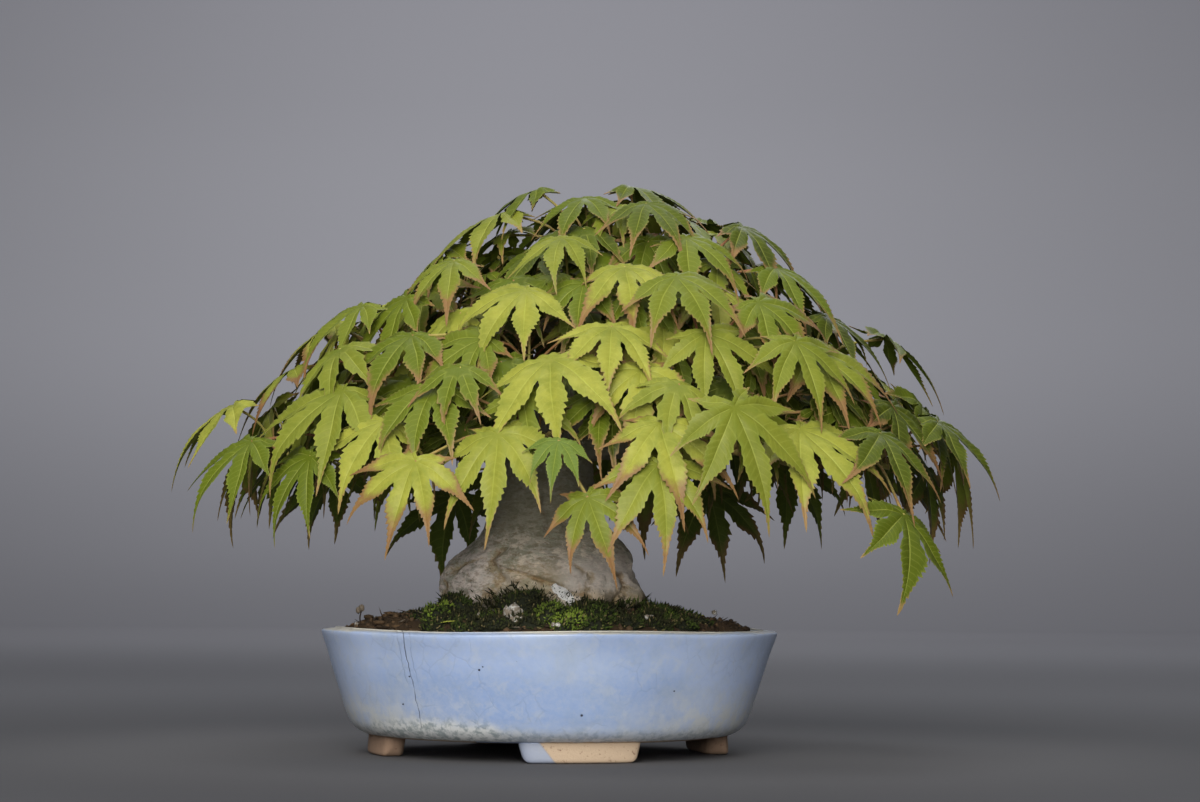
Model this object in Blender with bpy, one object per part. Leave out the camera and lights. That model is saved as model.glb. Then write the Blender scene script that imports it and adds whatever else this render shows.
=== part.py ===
"""Japanese maple bonsai in a round ceramic pot with four feet. Metres, +Z up.

The pot stands on z = 0 and the front of the tree faces -Y. The origin lies under the middle of
the crown, and the axis of the pot is 10 mm to the left of it.
"""

import math
import random
from dataclasses import dataclass

import bmesh
import bpy
from mathutils import Matrix, Vector
from mathutils.bvhtree import BVHTree

GAP = 0.0003  # between two pieces that touch
TURN = 2.0 * math.pi
SEED = 2

# Pot
POT_X = -0.010
POT_SIDES = 36
POT_RIM = 0.075
POT_HEIGHT = 0.0405
POT_FOOT_HEIGHT = 0.006
POT_FLOOR = 0.0045  # thickness
POT_HOLE = 0.008  # radius of the drain hole
POT_TURN = math.radians(11.4)  # how far the feet are turned from the front
RIM_WIDTH = 0.0052
FOOT_OUTER = 0.0595
FOOT_INNER = 0.0495
FOOT_TOP_SPAN = math.radians(41.0)
FOOT_BASE_SPAN = math.radians(36.0)

# Outer wall of the bowl from the rim to the underside, as radius and height
POT_WALL = (
    (POT_RIM, POT_HEIGHT),
    (POT_RIM, POT_HEIGHT - 0.0012),
    (0.0706, 0.0262),
    (0.0664, 0.0132),
    (0.0642, 0.0092),
    (0.0606, 0.0068),
    (0.0560, POT_FOOT_HEIGHT),
)

# Screen over the drain hole
SCREEN_WIDTH = 0.026
SCREEN_THICKNESS = 0.0009
SCREEN_HOLES = 2
SCREEN_BAR = 0.0022

# Soil: a low mound that rises from just under the rim to the trunk
SOIL_EDGE = 0.0388
SOIL_SHOULDER = 0.0428
SOIL_CREST = 0.0458

# Trunk, from its buried base to its top: height, half width, half depth, middle in X and in Y.
# The soil has as many sides, so that its hole follows the trunk.
TRUNK_SIDES = 18
TRUNK_BARE = 0.048  # the trunk is a plain post below this height
TRUNK_RINGS = (
    (0.0375, 0.0355, 0.0300, -0.0115, 0.0020),
    (0.0480, 0.0355, 0.0300, -0.0115, 0.0020),
    (0.0560, 0.0350, 0.0295, -0.0122, 0.0020),
    (0.0625, 0.0318, 0.0270, -0.0130, 0.0015),
    (0.0675, 0.0266, 0.0236, -0.0125, 0.0010),
    (0.0725, 0.0218, 0.0206, -0.0115, 0.0005),
    (0.0800, 0.0184, 0.0178, -0.0120, 0.0000),
    (0.0920, 0.0162, 0.0158, -0.0125, -0.0010),
    (0.1060, 0.0138, 0.0134, -0.0095, -0.0010),
    (0.1220, 0.0104, 0.0102, -0.0035, 0.0005),
    (0.1380, 0.0072, 0.0072, 0.0045, 0.0015),
    (0.1520, 0.0046, 0.0046, 0.0105, 0.0005),
)
# Root ridges, which lean and fade out upwards, and the trunk's slow three-sided twist
ROOT_RIDGES = 7
ROOT_RELIEF = 0.045
ROOT_RISE = 0.040
ROOT_LEAN = 60.0
TRUNK_RELIEF = 0.028
TRUNK_TWIST = 75.0

# Crown: the dome that the leaf joints lie on
CROWN_X = 0.0134
CROWN_LEFT = 0.152
CROWN_RIGHT = 0.127
CROWN_DEPTH = 0.110
CROWN_FOOT = 0.075
CROWN_TOP = 0.188
PLAN_POWER = 1.5
RISE_POWER = 1.25

# Sprays, ring by ring from the top: share of the crown's reach, number, first bearing, height
# at which the limb leaves the trunk
SPRAY_RINGS = (
    (0.15, 2, 40.0, 0.1500),
    (0.40, 6, 10.0, 0.1300),
    (0.65, 8, 25.0, 0.1120),
    (0.85, 10, 5.0, 0.0950),
)
HUB_DEPTH = 0.022  # from the crown's surface in to the end of a spray's twig
LIMB_END = 0.30
BRANCH_END = 0.60
LIMB_ARCH = 0.012
LIMB_RADII = (0.0042, 0.0034, 0.0025, 0.0020, 0.0015)
STALK_STATIONS = (0.97, 0.90, 0.83, 0.76, 0.69, 0.935, 0.865, 0.795, 0.725, 0.655)

# Leaf, as shares of its middle lobe's length. Lobes: bearing, length, half width
LEAF_LENGTH = 0.034
LOBES = (
    (-88.0, 0.64, 0.112),
    (-44.0, 0.88, 0.135),
    (0.0, 1.0, 0.150),
    (44.0, 0.88, 0.135),
    (88.0, 0.64, 0.112),
)
LOBE_WIDEST = 0.48
NOTCHES = (0.17, 0.25, 0.28, 0.28, 0.25, 0.17)  # how far out each notch between lobes starts
OUTER_NOTCH = 23.0  # degrees from the outer lobe to the notch behind it
BASAL_BEARING = 134.0
BASAL_LENGTH = 0.36
BASE_NOTCH = 0.05
LEAF_SAG = 0.24
LEAF_DIP = math.radians(8.0)
BLADE_THICKNESS = 0.0010
STALK_RADIUS = 0.0006
STALK_FOOT = 0.005  # the end of a stalk, where the stalks of a twig may meet
STALK_RISE = 0.12  # least cosine between a stalk and the upper side of its blade
TWIG_RADIUS = 0.0012
GUARD_THICKNESS = 0.0017  # blade and stalk with the clearance round them, and its spread
GUARD_RADIUS = 0.0009
GUARD_SPREAD = 1.03

# Front leaves as they look from in front, in millimetres on the plane of the trunk: X and Z of
# the joint, heading of the middle lobe in degrees from straight down towards +X, size in percent
EYE_DISTANCE = 0.940
EYE_HEIGHT = 0.0555
FRONT_LEAVES = (
    (-26, 179, -3, 100),
    (16, 188, 25, 96),
    (1, 184, 0, 85),
    (35, 171, 20, 95),
    (52, 172, 62, 100),
    (-18, 153, -25, 95),
    (-10, 130, 12, 115),
    (15, 161, 0, 95),
    (11, 141, 10, 95),
    (65, 161, 28, 95),
    (42, 139, 27, 95),
    (58, 147, 43, 90),
    (84, 147, 52, 90),
    (78, 133, 40, 105),
    (69, 132, 5, 95),
    (75, 109, 18, 110),
    (27, 109, 6, 100),
    (49, 108, 18, 110),
    (21, 129, -5, 90),
    (-27, 105, 10, 100),
    (-48, 120, -6, 105),
    (-53, 94, -14, 100),
    (-79, 119, -32, 115),
    (-66, 111, -18, 90),
    (-82, 141, -24, 100),
    (-102, 134, -36, 90),
    (-113, 112, -45, 100),
    (-109, 102, -30, 95),
    (-91, 99, -30, 95),
    (-71, 145, -30, 85),
    (-58, 150, -45, 100),
    (-41, 160, -20, 85),
    (-33, 139, -55, 95),
    (-6, 168, 0, 70),
    (1, 158, -5, 75),
    (31, 153, 12, 95),
    (27, 97, 2, 100),
    (3, 87, 18, 80),
    (-6, 101, -10, 58),
    (108, 79, -22, 95),
    (100, 106, 15, 100),
    (119, 110, 45, 100),
    (106, 117, 30, 95),
)
# Leaves on the far side that show under the crown, in the same way
FAR_LEAVES = (
    (42, 87, 6, 115),
    (-82, 91, -8, 100),
    (-42, 84, -12, 100),
)

# Leaves that fill the rest of the crown, layer by layer: rings by share of the reach, spacing on
# a ring, and depth under the crown's surface
FILL_LAYERS = (
    ((0.07, 0.24, 0.40, 0.55, 0.68, 0.79, 0.88), 0.0270, 0.0),
    ((0.15, 0.31, 0.47, 0.63, 0.78), 0.0330, 0.011),
)
FILL_CLEAR = 0.017  # from the joint of a leaf that is there
MOVES_OUT = (0.0, 0.003, 0.006, 0.010, -0.003, -0.006, -0.010, -0.014)
MOVES_ROUND = (0.0, 10.0, -10.0, 20.0, -20.0, 35.0, -35.0)
HANGS = (0.0, 14.0, 28.0)
LEAF_LIMIT = 130
LOWEST_LEAF = 0.064
BOX_X = 0.1410
BOX_Y = 0.1160
BOX_Z = 0.1900

# Moss pads round the foot of the trunk: bearing in degrees, how far from the trunk's axis,
# half length along the trunk, half depth, height
MOSS_CORE = 0.030  # radius inside which the trunk, and not the soil, bounds the moss
MOSS_PADS = (
    (-136.0, 0.0395, 0.0110, 0.0080, 0.0075),
    (-100.0, 0.0360, 0.0100, 0.0095, 0.0095),
    (-65.0, 0.0370, 0.0100, 0.0090, 0.0085),
    (-30.0, 0.0430, 0.0105, 0.0080, 0.0065),
    (100.0, 0.0375, 0.0140, 0.0090, 0.0070),
)

# Finishes: red, green and blue, roughness
FINISHES = {
    "glaze": ((0.33, 0.43, 0.62), 0.28),
    "screen": ((0.03, 0.03, 0.03), 0.60),
    "soil": ((0.035, 0.022, 0.013), 0.95),
    "bark": ((0.24, 0.21, 0.16), 0.85),
    "moss": ((0.06, 0.13, 0.02), 0.95),
    "leaf": ((0.36, 0.46, 0.05), 0.50),
}


@dataclass
class Leaf:
    """One leaf: where its stalk meets the blade, its directions, its size, its stalk's foot."""

    joint: Vector
    ahead: Vector
    side: Vector
    up: Vector
    length: float
    foot: Vector

    def point(self, along, across, lift=0.0):
        """A point of the blade, which sags with the square of the distance from the joint."""
        sag = LEAF_SAG * (along * along + across * across) * self.length
        flat = self.ahead * (along * self.length) + self.side * (across * self.length)
        return self.joint + flat + self.up * (lift - sag)


@dataclass
class Spray:
    """A twig and its leaves. The twig's path goes on from the end of a branch."""

    path: list
    leaves: list

    def station(self, share):
        """A point on the twig at a share of the way along its path."""
        place = share * (len(self.path) - 1)
        first = min(int(place), len(self.path) - 2)
        return self.path[first].lerp(self.path[first + 1], place - first)


@dataclass
class Obstacle:
    """What a new leaf must stay clear of. The short tree leaves out the foot of the stalk."""

    owner: int
    middle: Vector
    reach: float
    whole: BVHTree
    short: BVHTree


def crown_level(point):
    """Below 0 inside the crown, 0 on its surface."""
    reach = CROWN_LEFT if point.x < CROWN_X else CROWN_RIGHT
    plan = math.hypot((point.x - CROWN_X) / reach, point.y / CROWN_DEPTH)
    rise = max(point.z - CROWN_FOOT, 0.0) / (CROWN_TOP - CROWN_FOOT)
    return plan**PLAN_POWER + rise**RISE_POWER - 1.0


def crown_normal(point):
    """The outward direction of the crown, from its slopes along the three axes."""
    step = 0.001
    slopes = []
    for axis in range(3):
        there = point.copy()
        there[axis] += step
        back = point.copy()
        back[axis] -= step
        slopes.append(crown_level(there) - crown_level(back))
    return Vector(slopes).normalized()


def crown_point(bearing, plan):
    """The point of the crown at a bearing from +X and a share of the reach."""
    across = math.cos(bearing)
    reach = CROWN_LEFT if across < 0.0 else CROWN_RIGHT
    rise = max(1.0 - plan**PLAN_POWER, 0.0) ** (1.0 / RISE_POWER)
    height = CROWN_FOOT + (CROWN_TOP - CROWN_FOOT) * rise
    return Vector((CROWN_X + reach * plan * across, CROWN_DEPTH * plan * math.sin(bearing), height))


def seen_point(x, z, far):
    """The crown's point on the line of sight through (x, z) on the plane of the trunk."""
    eye = Vector((0.0, -EYE_DISTANCE, EYE_HEIGHT))
    aim = Vector((x, 0.0, z)) - eye
    steps = 120
    levels = []
    for step in range(steps + 1):
        y = CROWN_DEPTH * step / steps
        y = y if far else -y
        point = eye + aim * ((y + EYE_DISTANCE) / EYE_DISTANCE)
        levels.append((abs(crown_level(point)), step, point))
    return min(levels)[2]


def leaf_axes(normal, heading, twist, hang):
    """The blade's directions: the heading is laid in the crown's surface, turned and lifted."""
    ahead = (heading - normal * heading.dot(normal)).normalized()
    ahead = Matrix.Rotation(twist, 3, normal) @ ahead
    slope = math.asin(max(-1.0, min(1.0, -ahead.z)))
    lift = 0.5 * slope - LEAF_DIP - hang
    side = normal.cross(ahead)
    turn = Matrix.Rotation(-lift, 3, side)
    return turn @ ahead, side, turn @ normal


def polar(bearing, distance):
    """Flat coordinates along and across a blade."""
    angle = math.radians(bearing)
    return distance * math.cos(angle), distance * math.sin(angle)


def blade_plan():
    """The blade's flat outline, its rib points, and the order of both round the joint."""
    outline = [polar(180.0, BASE_NOTCH), polar(-BASAL_BEARING, BASAL_LENGTH)]
    ribs = []
    spokes = [("edge", 0), ("edge", 1)]
    lobe_edges = []
    for index, (bearing, length, half_width) in enumerate(LOBES):
        before = LOBES[index - 1][0] if index else -BASAL_BEARING
        notch = 0.5 * (bearing + before) if index else bearing - OUTER_NOTCH
        spokes.append(("edge", len(outline)))
        lobe_edges.append(len(outline))
        outline.append(polar(notch, NOTCHES[index]))
        along = LOBE_WIDEST * length
        spread = math.degrees(math.atan2(half_width, along))
        shoulder = math.hypot(along, half_width)
        outline.append(polar(bearing - spread, shoulder))
        outline.append(polar(bearing, length))
        outline.append(polar(bearing + spread, shoulder))
        spokes.append(("rib", len(ribs)))
        ribs.append(polar(bearing, along))
    spokes.append(("edge", len(outline)))
    outline.append(polar(LOBES[-1][0] + OUTER_NOTCH, NOTCHES[-1]))
    spokes.append(("edge", len(outline)))
    outline.append(polar(BASAL_BEARING, BASAL_LENGTH))
    return outline, ribs, spokes, lobe_edges


def leaf_shape(leaf, thickness=BLADE_THICKNESS, radius=STALK_RADIUS, spread=1.0, kept=1.0):
    """A blade with ribs raised on both faces, and its three-sided stalk, as one closed mesh."""
    outline, ribs, spokes, lobe_edges = blade_plan()
    points = [leaf.point(a * spread, b * spread) for a, b in outline]
    top = len(points)
    points.append(leaf.point(0.0, 0.0, thickness * 0.6))
    points += [leaf.point(a * spread, b * spread, thickness * 0.5) for a, b in ribs]
    low = len(points)
    points += [leaf.point(a * spread, b * spread, -thickness * 0.5) for a, b in ribs]

    foot = leaf.joint.lerp(leaf.foot, kept)
    way = (foot - leaf.joint).normalized()
    ring = len(points)
    offsets = []
    for bearing in (-120.0, 0.0, 120.0):
        along, across = polar(bearing, 1.0)
        offset = leaf.ahead * along + leaf.side * across
        points.append(leaf.joint + offset * radius * 1.2 - leaf.up * thickness * 0.6)
        offsets.append((offset - way * offset.dot(way)).normalized())
    points += [foot + offset * radius for offset in offsets]

    places = {("edge", i): i for i in range(len(outline))}
    upper = {**places, **{("rib", i): top + 1 + i for i in range(len(ribs))}}
    lower = {**places, **{("rib", i): low + i for i in range(len(ribs))}}
    faces = []
    share = len(spokes) / 3.0
    for index, spoke in enumerate(spokes):
        after = spokes[(index + 1) % len(spokes)]
        faces.append((top, upper[spoke], upper[after]))
        corner = ring + int(index / share)
        faces.append((corner, lower[after], lower[spoke]))
        next_corner = ring + int((index + 1) / share) % 3
        if next_corner != corner:
            faces.append((corner, next_corner, lower[after]))
    for rib, edge in enumerate(lobe_edges):
        for step in range(4):
            a, b = edge + step, edge + step + 1
            faces.append((a, b, top + 1 + rib))
            faces.append((b, a, low + rib))
    for a, b in ((ring, ring + 1), (ring + 1, ring + 2), (ring + 2, ring)):
        faces += [(a, a + 3, b + 3), (a, b + 3, b)]
    faces.append((ring + 5, ring + 4, ring + 3))
    return points, faces


def tube_shape(path, radii, sides):
    """A round bar along a path, with flat ends square to it."""
    points = []
    faces = []
    way = (path[1] - path[0]).normalized()
    across = way.orthogonal().normalized()
    for index, place in enumerate(path):
        here = (path[min(index + 1, len(path) - 1)] - path[max(index - 1, 0)]).normalized()
        across = way.rotation_difference(here) @ across
        way = here
        other = way.cross(across)
        for corner in range(sides):
            angle = TURN * corner / sides
            offset = across * math.cos(angle) + other * math.sin(angle)
            points.append(place + offset * radii[index])
    for level in range(len(path) - 1):
        for corner in range(sides):
            a = level * sides + corner
            b = level * sides + (corner + 1) % sides
            faces += [(a, b, b + sides), (a, b + sides, a + sides)]
    faces.append(tuple(reversed(range(sides))))
    faces.append(tuple(range(len(points) - sides, len(points))))
    return points, faces


def plan_wood():
    """Limbs and branches of the trunk as paths with radii, and the sprays on the branches."""
    bars = []
    sprays = []
    for reach, number, first, height in SPRAY_RINGS:
        start = trunk_middle(height)
        ways = []
        for index in range(number):
            bearing = math.radians(first + 360.0 * index / number)
            surface = crown_point(bearing, reach)
            hub = surface - crown_normal(surface) * HUB_DEPTH
            bend = start.lerp(hub, 0.5) + Vector((0.0, 0.0, LIMB_ARCH))
            ways.append((start, bend, hub))
        for pair in range(0, number, 2):
            couple = ways[pair : pair + 2]
            fork = arc_point(couple[0], LIMB_END).lerp(arc_point(couple[1], LIMB_END), 0.5)
            limb = [start, start.lerp(fork, 0.5) + Vector((0.0, 0.0, 0.15 * LIMB_ARCH)), fork]
            for index, way in enumerate(couple):
                middle = fork.lerp(arc_point(way, 0.5 * (LIMB_END + BRANCH_END)), 0.85)
                end = arc_point(way, BRANCH_END)
                if index == 0:
                    bars.append(([*limb, middle, end], LIMB_RADII, 5))
                else:
                    bars.append(([fork, middle, end], LIMB_RADII[2:], 4))
                past = (end - middle).normalized()
                bend = end + past * (arc_point(way, 0.75) - end).length
                sprays.append(Spray([end + past * GAP, bend, arc_point(way, 0.88), way[2]], []))
    return bars, sprays


def arc_point(way, share):
    """A point on the arc from a start over a bend to an end."""
    start, bend, end = way
    return start.lerp(bend, share).lerp(bend.lerp(end, share), share)


def trunk_middle(height):
    """The middle of the trunk at a height."""
    for below, above in zip(TRUNK_RINGS, TRUNK_RINGS[1:]):
        if height <= above[0]:
            share = (height - below[0]) / (above[0] - below[0])
            x = below[3] + share * (above[3] - below[3])
            y = below[4] + share * (above[4] - below[4])
            return Vector((x, y, height))
    return Vector((TRUNK_RINGS[-1][3], TRUNK_RINGS[-1][4], height))


def trunk_outline(ring, grow=0.0):
    """One level of the trunk: an oval with root ridges that fade upwards."""
    height, half_width, half_depth, x, y = ring
    level = max(height, TRUNK_BARE)
    fade = max(0.0, 1.0 - (level - TRUNK_BARE) / ROOT_RISE)
    points = []
    for corner in range(TRUNK_SIDES):
        angle = TURN * corner / TRUNK_SIDES
        ridge = ROOT_RELIEF * fade * math.cos(ROOT_RIDGES * angle + ROOT_LEAN * level)
        ridge += TRUNK_RELIEF * math.cos(3.0 * angle + TRUNK_TWIST * level)
        across = (half_width * (1.0 + ridge) + grow) * math.cos(angle)
        deep = (half_depth * (1.0 + ridge) + grow) * math.sin(angle)
        points.append(Vector((x + across, y + deep, height)))
    return points


def lofted(rings):
    """A closed mesh through rings of equally many points, with a flat face at each end."""
    sides = len(rings[0])
    points = [point for ring in rings for point in ring]
    faces = []
    for level in range(len(rings) - 1):
        for corner in range(sides):
            a = level * sides + corner
            b = level * sides + (corner + 1) % sides
            faces += [(a, b, b + sides), (a, b + sides, a + sides)]
    faces.append(tuple(reversed(range(sides))))
    faces.append(tuple(range(len(points) - sides, len(points))))
    return points, faces


def tree_of(shape):
    """A search tree of a shape's faces."""
    points, faces = shape
    return BVHTree.FromPolygons(points, faces)


def as_obstacle(owner, whole, short):
    """An obstacle from one mesh, and from another without the foot of its stalk."""
    points = whole[0]
    low = Vector([min(p[axis] for p in points) for axis in range(3)])
    high = Vector([max(p[axis] for p in points) for axis in range(3)])
    return Obstacle(owner, low.lerp(high, 0.5), (high - low).length / 2, tree_of(whole), tree_of(short))


def is_clear(mine, obstacles):
    """Whether a new leaf crosses nothing that is there."""
    for other in obstacles:
        if (other.middle - mine.middle).length > other.reach + mine.reach:
            continue
        if other.owner == mine.owner:
            if mine.short.overlap(other.short):
                return False
        elif mine.whole.overlap(other.whole):
            return False
    return True


def inside_box(leaf, lowest):
    """Whether the lobe tips stay in the plant's outline and over its underside."""
    tips = [leaf.point(*polar(bearing, length)) for bearing, length, _ in LOBES]
    return all(
        abs(tip.x) < BOX_X and abs(tip.y) < BOX_Y and lowest < tip.z < BOX_Z for tip in tips
    )


def add_leaf(sprays, obstacles, spot, heading, length, moves, lowest):
    """Puts a leaf near a spot on the crown, by the first move that is clear."""
    normal = crown_normal(spot)
    for offset, twist, hang in moves:
        ahead, side, up = leaf_axes(normal, heading, math.radians(twist), math.radians(hang))
        joint = spot + normal * offset
        owner = min(range(len(sprays)), key=lambda i: (sprays[i].path[-1] - joint).length)
        if len(sprays[owner].leaves) == len(STALK_STATIONS):
            continue
        foot = sprays[owner].station(STALK_STATIONS[len(sprays[owner].leaves)])
        leaf = Leaf(joint, ahead, side, up, length, foot)
        stalk = (joint - foot).normalized()
        if stalk.dot(up) < STALK_RISE or not inside_box(leaf, lowest):
            continue
        kept = max(0.0, 1.0 - STALK_FOOT / (foot - joint).length)
        whole = leaf_shape(leaf, GUARD_THICKNESS, GUARD_RADIUS, GUARD_SPREAD)
        short = leaf_shape(leaf, GUARD_THICKNESS, GUARD_RADIUS, GUARD_SPREAD, kept)
        mine = as_obstacle(owner, whole, short)
        if is_clear(mine, obstacles):
            obstacles.append(mine)
            sprays[owner].leaves.append(leaf)
            return True
    return False


def heading_in_view(degrees):
    """A direction in the plane that faces the front, from straight down towards +X."""
    angle = math.radians(degrees)
    return Vector((math.sin(angle), 0.0, -math.cos(angle)))


def plan_crown(sprays, wood):
    """Fills the sprays with leaves: those seen from the front first, then ring by ring."""
    obstacles = [as_obstacle(-1, wood, wood)]
    for owner, spray in enumerate(sprays):
        twig = twig_shape(spray)
        obstacles.append(as_obstacle(owner, twig, twig))
    moves = [(out, turn, hang) for out in MOVES_OUT for turn in MOVES_ROUND for hang in HANGS]
    moves.sort(key=lambda move: 1500.0 * abs(move[0]) + 0.3 * abs(move[1]) + 0.2 * move[2])
    for far, table in ((False, FRONT_LEAVES), (True, FAR_LEAVES)):
        for x, z, degrees, percent in table:
            spot = seen_point(x / 1000.0, z / 1000.0, far)
            length = LEAF_LENGTH * percent / 100.0
            heading = heading_in_view(degrees)
            add_leaf(sprays, obstacles, spot, heading, length, moves, 0.044)

    chance = random.Random(SEED)
    for rings, spacing, depth in FILL_LAYERS:
        for level, plan in enumerate(rings):
            around = TURN * plan * 0.25 * (CROWN_LEFT + CROWN_RIGHT + 2.0 * CROWN_DEPTH)
            number = max(3, round(around / spacing))
            for index in range(number):
                bearing = TURN * (index + 0.5 * (level % 2) + chance.uniform(-0.18, 0.18)) / number
                spot = crown_point(bearing, plan + chance.uniform(-0.02, 0.02))
                heading = Vector((math.cos(bearing), math.sin(bearing), -1.0))
                twist = chance.uniform(-32.0, 32.0)
                length = LEAF_LENGTH * chance.uniform(0.86, 1.08)
                spot -= crown_normal(spot) * depth
                joints = [leaf.joint for spray in sprays for leaf in spray.leaves]
                if len(joints) >= LEAF_LIMIT:
                    continue
                if min((joint - spot).length for joint in joints) < FILL_CLEAR - 0.5 * depth:
                    continue
                turned = [(offset, twist + turn, hang) for offset, turn, hang in moves]
                add_leaf(sprays, obstacles, spot, heading, length, turned, LOWEST_LEAF)


def twig_shape(spray):
    """The twig of a spray."""
    radii = [TWIG_RADIUS * taper for taper in (1.15, 1.0, 0.9, 0.8)]
    return tube_shape(spray.path, radii, 4)


def new_object(name, shape):
    """An object from points and faces."""
    points, faces = shape
    mesh = bpy.data.meshes.new(name)
    mesh.from_pydata([tuple(point) for point in points], [], faces)
    mesh.update()
    made = bpy.data.objects.new(name, mesh)
    bpy.context.scene.collection.objects.link(made)
    return made


def baked(made):
    """Applies an object's modifiers to its mesh."""
    graph = bpy.context.evaluated_depsgraph_get()
    mesh = bpy.data.meshes.new_from_object(made.evaluated_get(graph))
    made.modifiers.clear()
    made.data = mesh
    return made


def fused(name, shapes):
    """One solid from closed shapes that run into each other."""
    made = new_object(name, shapes[0])
    group = bpy.data.collections.new(f"{name}_pieces")
    bpy.context.scene.collection.children.link(group)
    pieces = [new_object(f"{name}_piece", shape) for shape in shapes[1:]]
    for piece in pieces:
        bpy.context.scene.collection.objects.unlink(piece)
        group.objects.link(piece)
    join = made.modifiers.new("Join", "BOOLEAN")
    join.operation = "UNION"
    join.operand_type = "COLLECTION"
    join.collection = group
    join.solver = "EXACT"
    baked(made)
    for piece in pieces:
        bpy.data.objects.remove(piece)
    bpy.data.collections.remove(group)
    return made


def cut(made, shape):
    """Takes a closed shape out of an object."""
    cutter = new_object(f"{made.name}_cutter", shape)
    trim = made.modifiers.new("Cut", "BOOLEAN")
    trim.operation = "DIFFERENCE"
    trim.object = cutter
    trim.solver = "EXACT"
    baked(made)
    bpy.data.objects.remove(cutter)
    return made


def finished(made, finish):
    """Gives an object its own material and a smooth surface with sharp edges kept."""
    colour, roughness = FINISHES[finish]
    material = bpy.data.materials.new(f"{made.name}_{finish}")
    material.use_nodes = True
    shader = material.node_tree.nodes["Principled BSDF"]
    shader.inputs["Base Color"].default_value = (*colour, 1.0)
    shader.inputs["Roughness"].default_value = roughness
    shader.inputs["Metallic"].default_value = 0.0
    made.data.materials.clear()
    made.data.materials.append(material)
    made.data.shade_smooth()
    made.data.set_sharp_from_angle(angle=math.radians(35.0))
    return made


def turned_ring(radius, height, sides, middle=(POT_X, 0.0)):
    """A level circle of points."""
    return [
        Vector(
            (
                middle[0] + radius * math.cos(TURN * corner / sides),
                middle[1] + radius * math.sin(TURN * corner / sides),
                height,
            )
        )
        for corner in range(sides)
    ]


def foot_shape(bearing):
    """A curved foot under the edge of the bowl, narrower at its base, its top in the clay."""
    steps = 4
    rings = []
    top = POT_FOOT_HEIGHT + 0.0018
    for step in range(steps + 1):
        share = 0.5 - step / steps
        ring = []
        for radius, height, span in (
            (FOOT_INNER, 0.0, FOOT_BASE_SPAN),
            (FOOT_OUTER, 0.0, FOOT_BASE_SPAN),
            (FOOT_OUTER - 0.0008, top, FOOT_TOP_SPAN),
            (FOOT_INNER, top, FOOT_TOP_SPAN),
        ):
            angle = bearing + share * span
            ring.append(
                Vector((POT_X + radius * math.cos(angle), radius * math.sin(angle), height))
            )
        rings.append(ring)
    return lofted(rings)


def inner_wall():
    """The bowl's inside from the rim to the floor, as radius and height."""
    floor = POT_FOOT_HEIGHT + POT_FLOOR
    return (
        (POT_RIM - RIM_WIDTH, POT_HEIGHT),
        (0.0655, 0.0262),
        (0.0612, 0.0150),
        (0.0565, floor),
    )


def bowl_shape():
    """The bowl as rings: outer wall down, through the drain hole, and up the inner wall."""
    floor = POT_FOOT_HEIGHT + POT_FLOOR
    inside = reversed(inner_wall())
    loop = [*POT_WALL, (POT_HOLE, POT_FOOT_HEIGHT), (POT_HOLE, floor), *inside]
    points = []
    faces = []
    for radius, height in loop:
        points += turned_ring(radius, height, POT_SIDES)
    count = len(loop)
    for level in range(count):
        after = (level + 1) % count
        for corner in range(POT_SIDES):
            right = (corner + 1) % POT_SIDES
            a, b = level * POT_SIDES + corner, level * POT_SIDES + right
            c, d = after * POT_SIDES + right, after * POT_SIDES + corner
            faces += [(a, c, b), (a, d, c)]
    return points, faces


def make_pot():
    """The glazed bowl with its drain hole and four feet, fired as one piece."""
    feet = [foot_shape(POT_TURN + TURN * (quarter - 1) / 4) for quarter in range(4)]
    return finished(fused("pot", [bowl_shape(), *feet]), "glaze")


def make_screen():
    """The plastic screen that lies over the drain hole, with square holes."""
    base = POT_FOOT_HEIGHT + POT_FLOOR + GAP
    pitch = (SCREEN_WIDTH - SCREEN_BAR) / SCREEN_HOLES
    lines = [-SCREEN_WIDTH / 2]
    for index in range(SCREEN_HOLES):
        lines.append(-SCREEN_WIDTH / 2 + SCREEN_BAR + index * pitch)
        lines.append(-SCREEN_WIDTH / 2 + (index + 1) * pitch)
    lines.append(SCREEN_WIDTH / 2)
    grid = bmesh.new()
    rows = [[grid.verts.new((POT_X + x, y, base)) for x in lines] for y in lines]
    for row in range(len(lines) - 1):
        for column in range(len(lines) - 1):
            if row % 2 and column % 2:
                continue
            corners = (
                rows[row][column],
                rows[row][column + 1],
                rows[row + 1][column + 1],
                rows[row + 1][column],
            )
            grid.faces.new(corners)
    lifted = bmesh.ops.extrude_face_region(grid, geom=list(grid.faces))
    upper = [item for item in lifted["geom"] if isinstance(item, bmesh.types.BMVert)]
    bmesh.ops.translate(grid, verts=upper, vec=(0.0, 0.0, SCREEN_THICKNESS))
    bmesh.ops.recalc_face_normals(grid, faces=list(grid.faces))
    made = new_object("drain_screen", ([], []))
    grid.to_mesh(made.data)
    grid.free()
    return finished(made, "screen")


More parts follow.
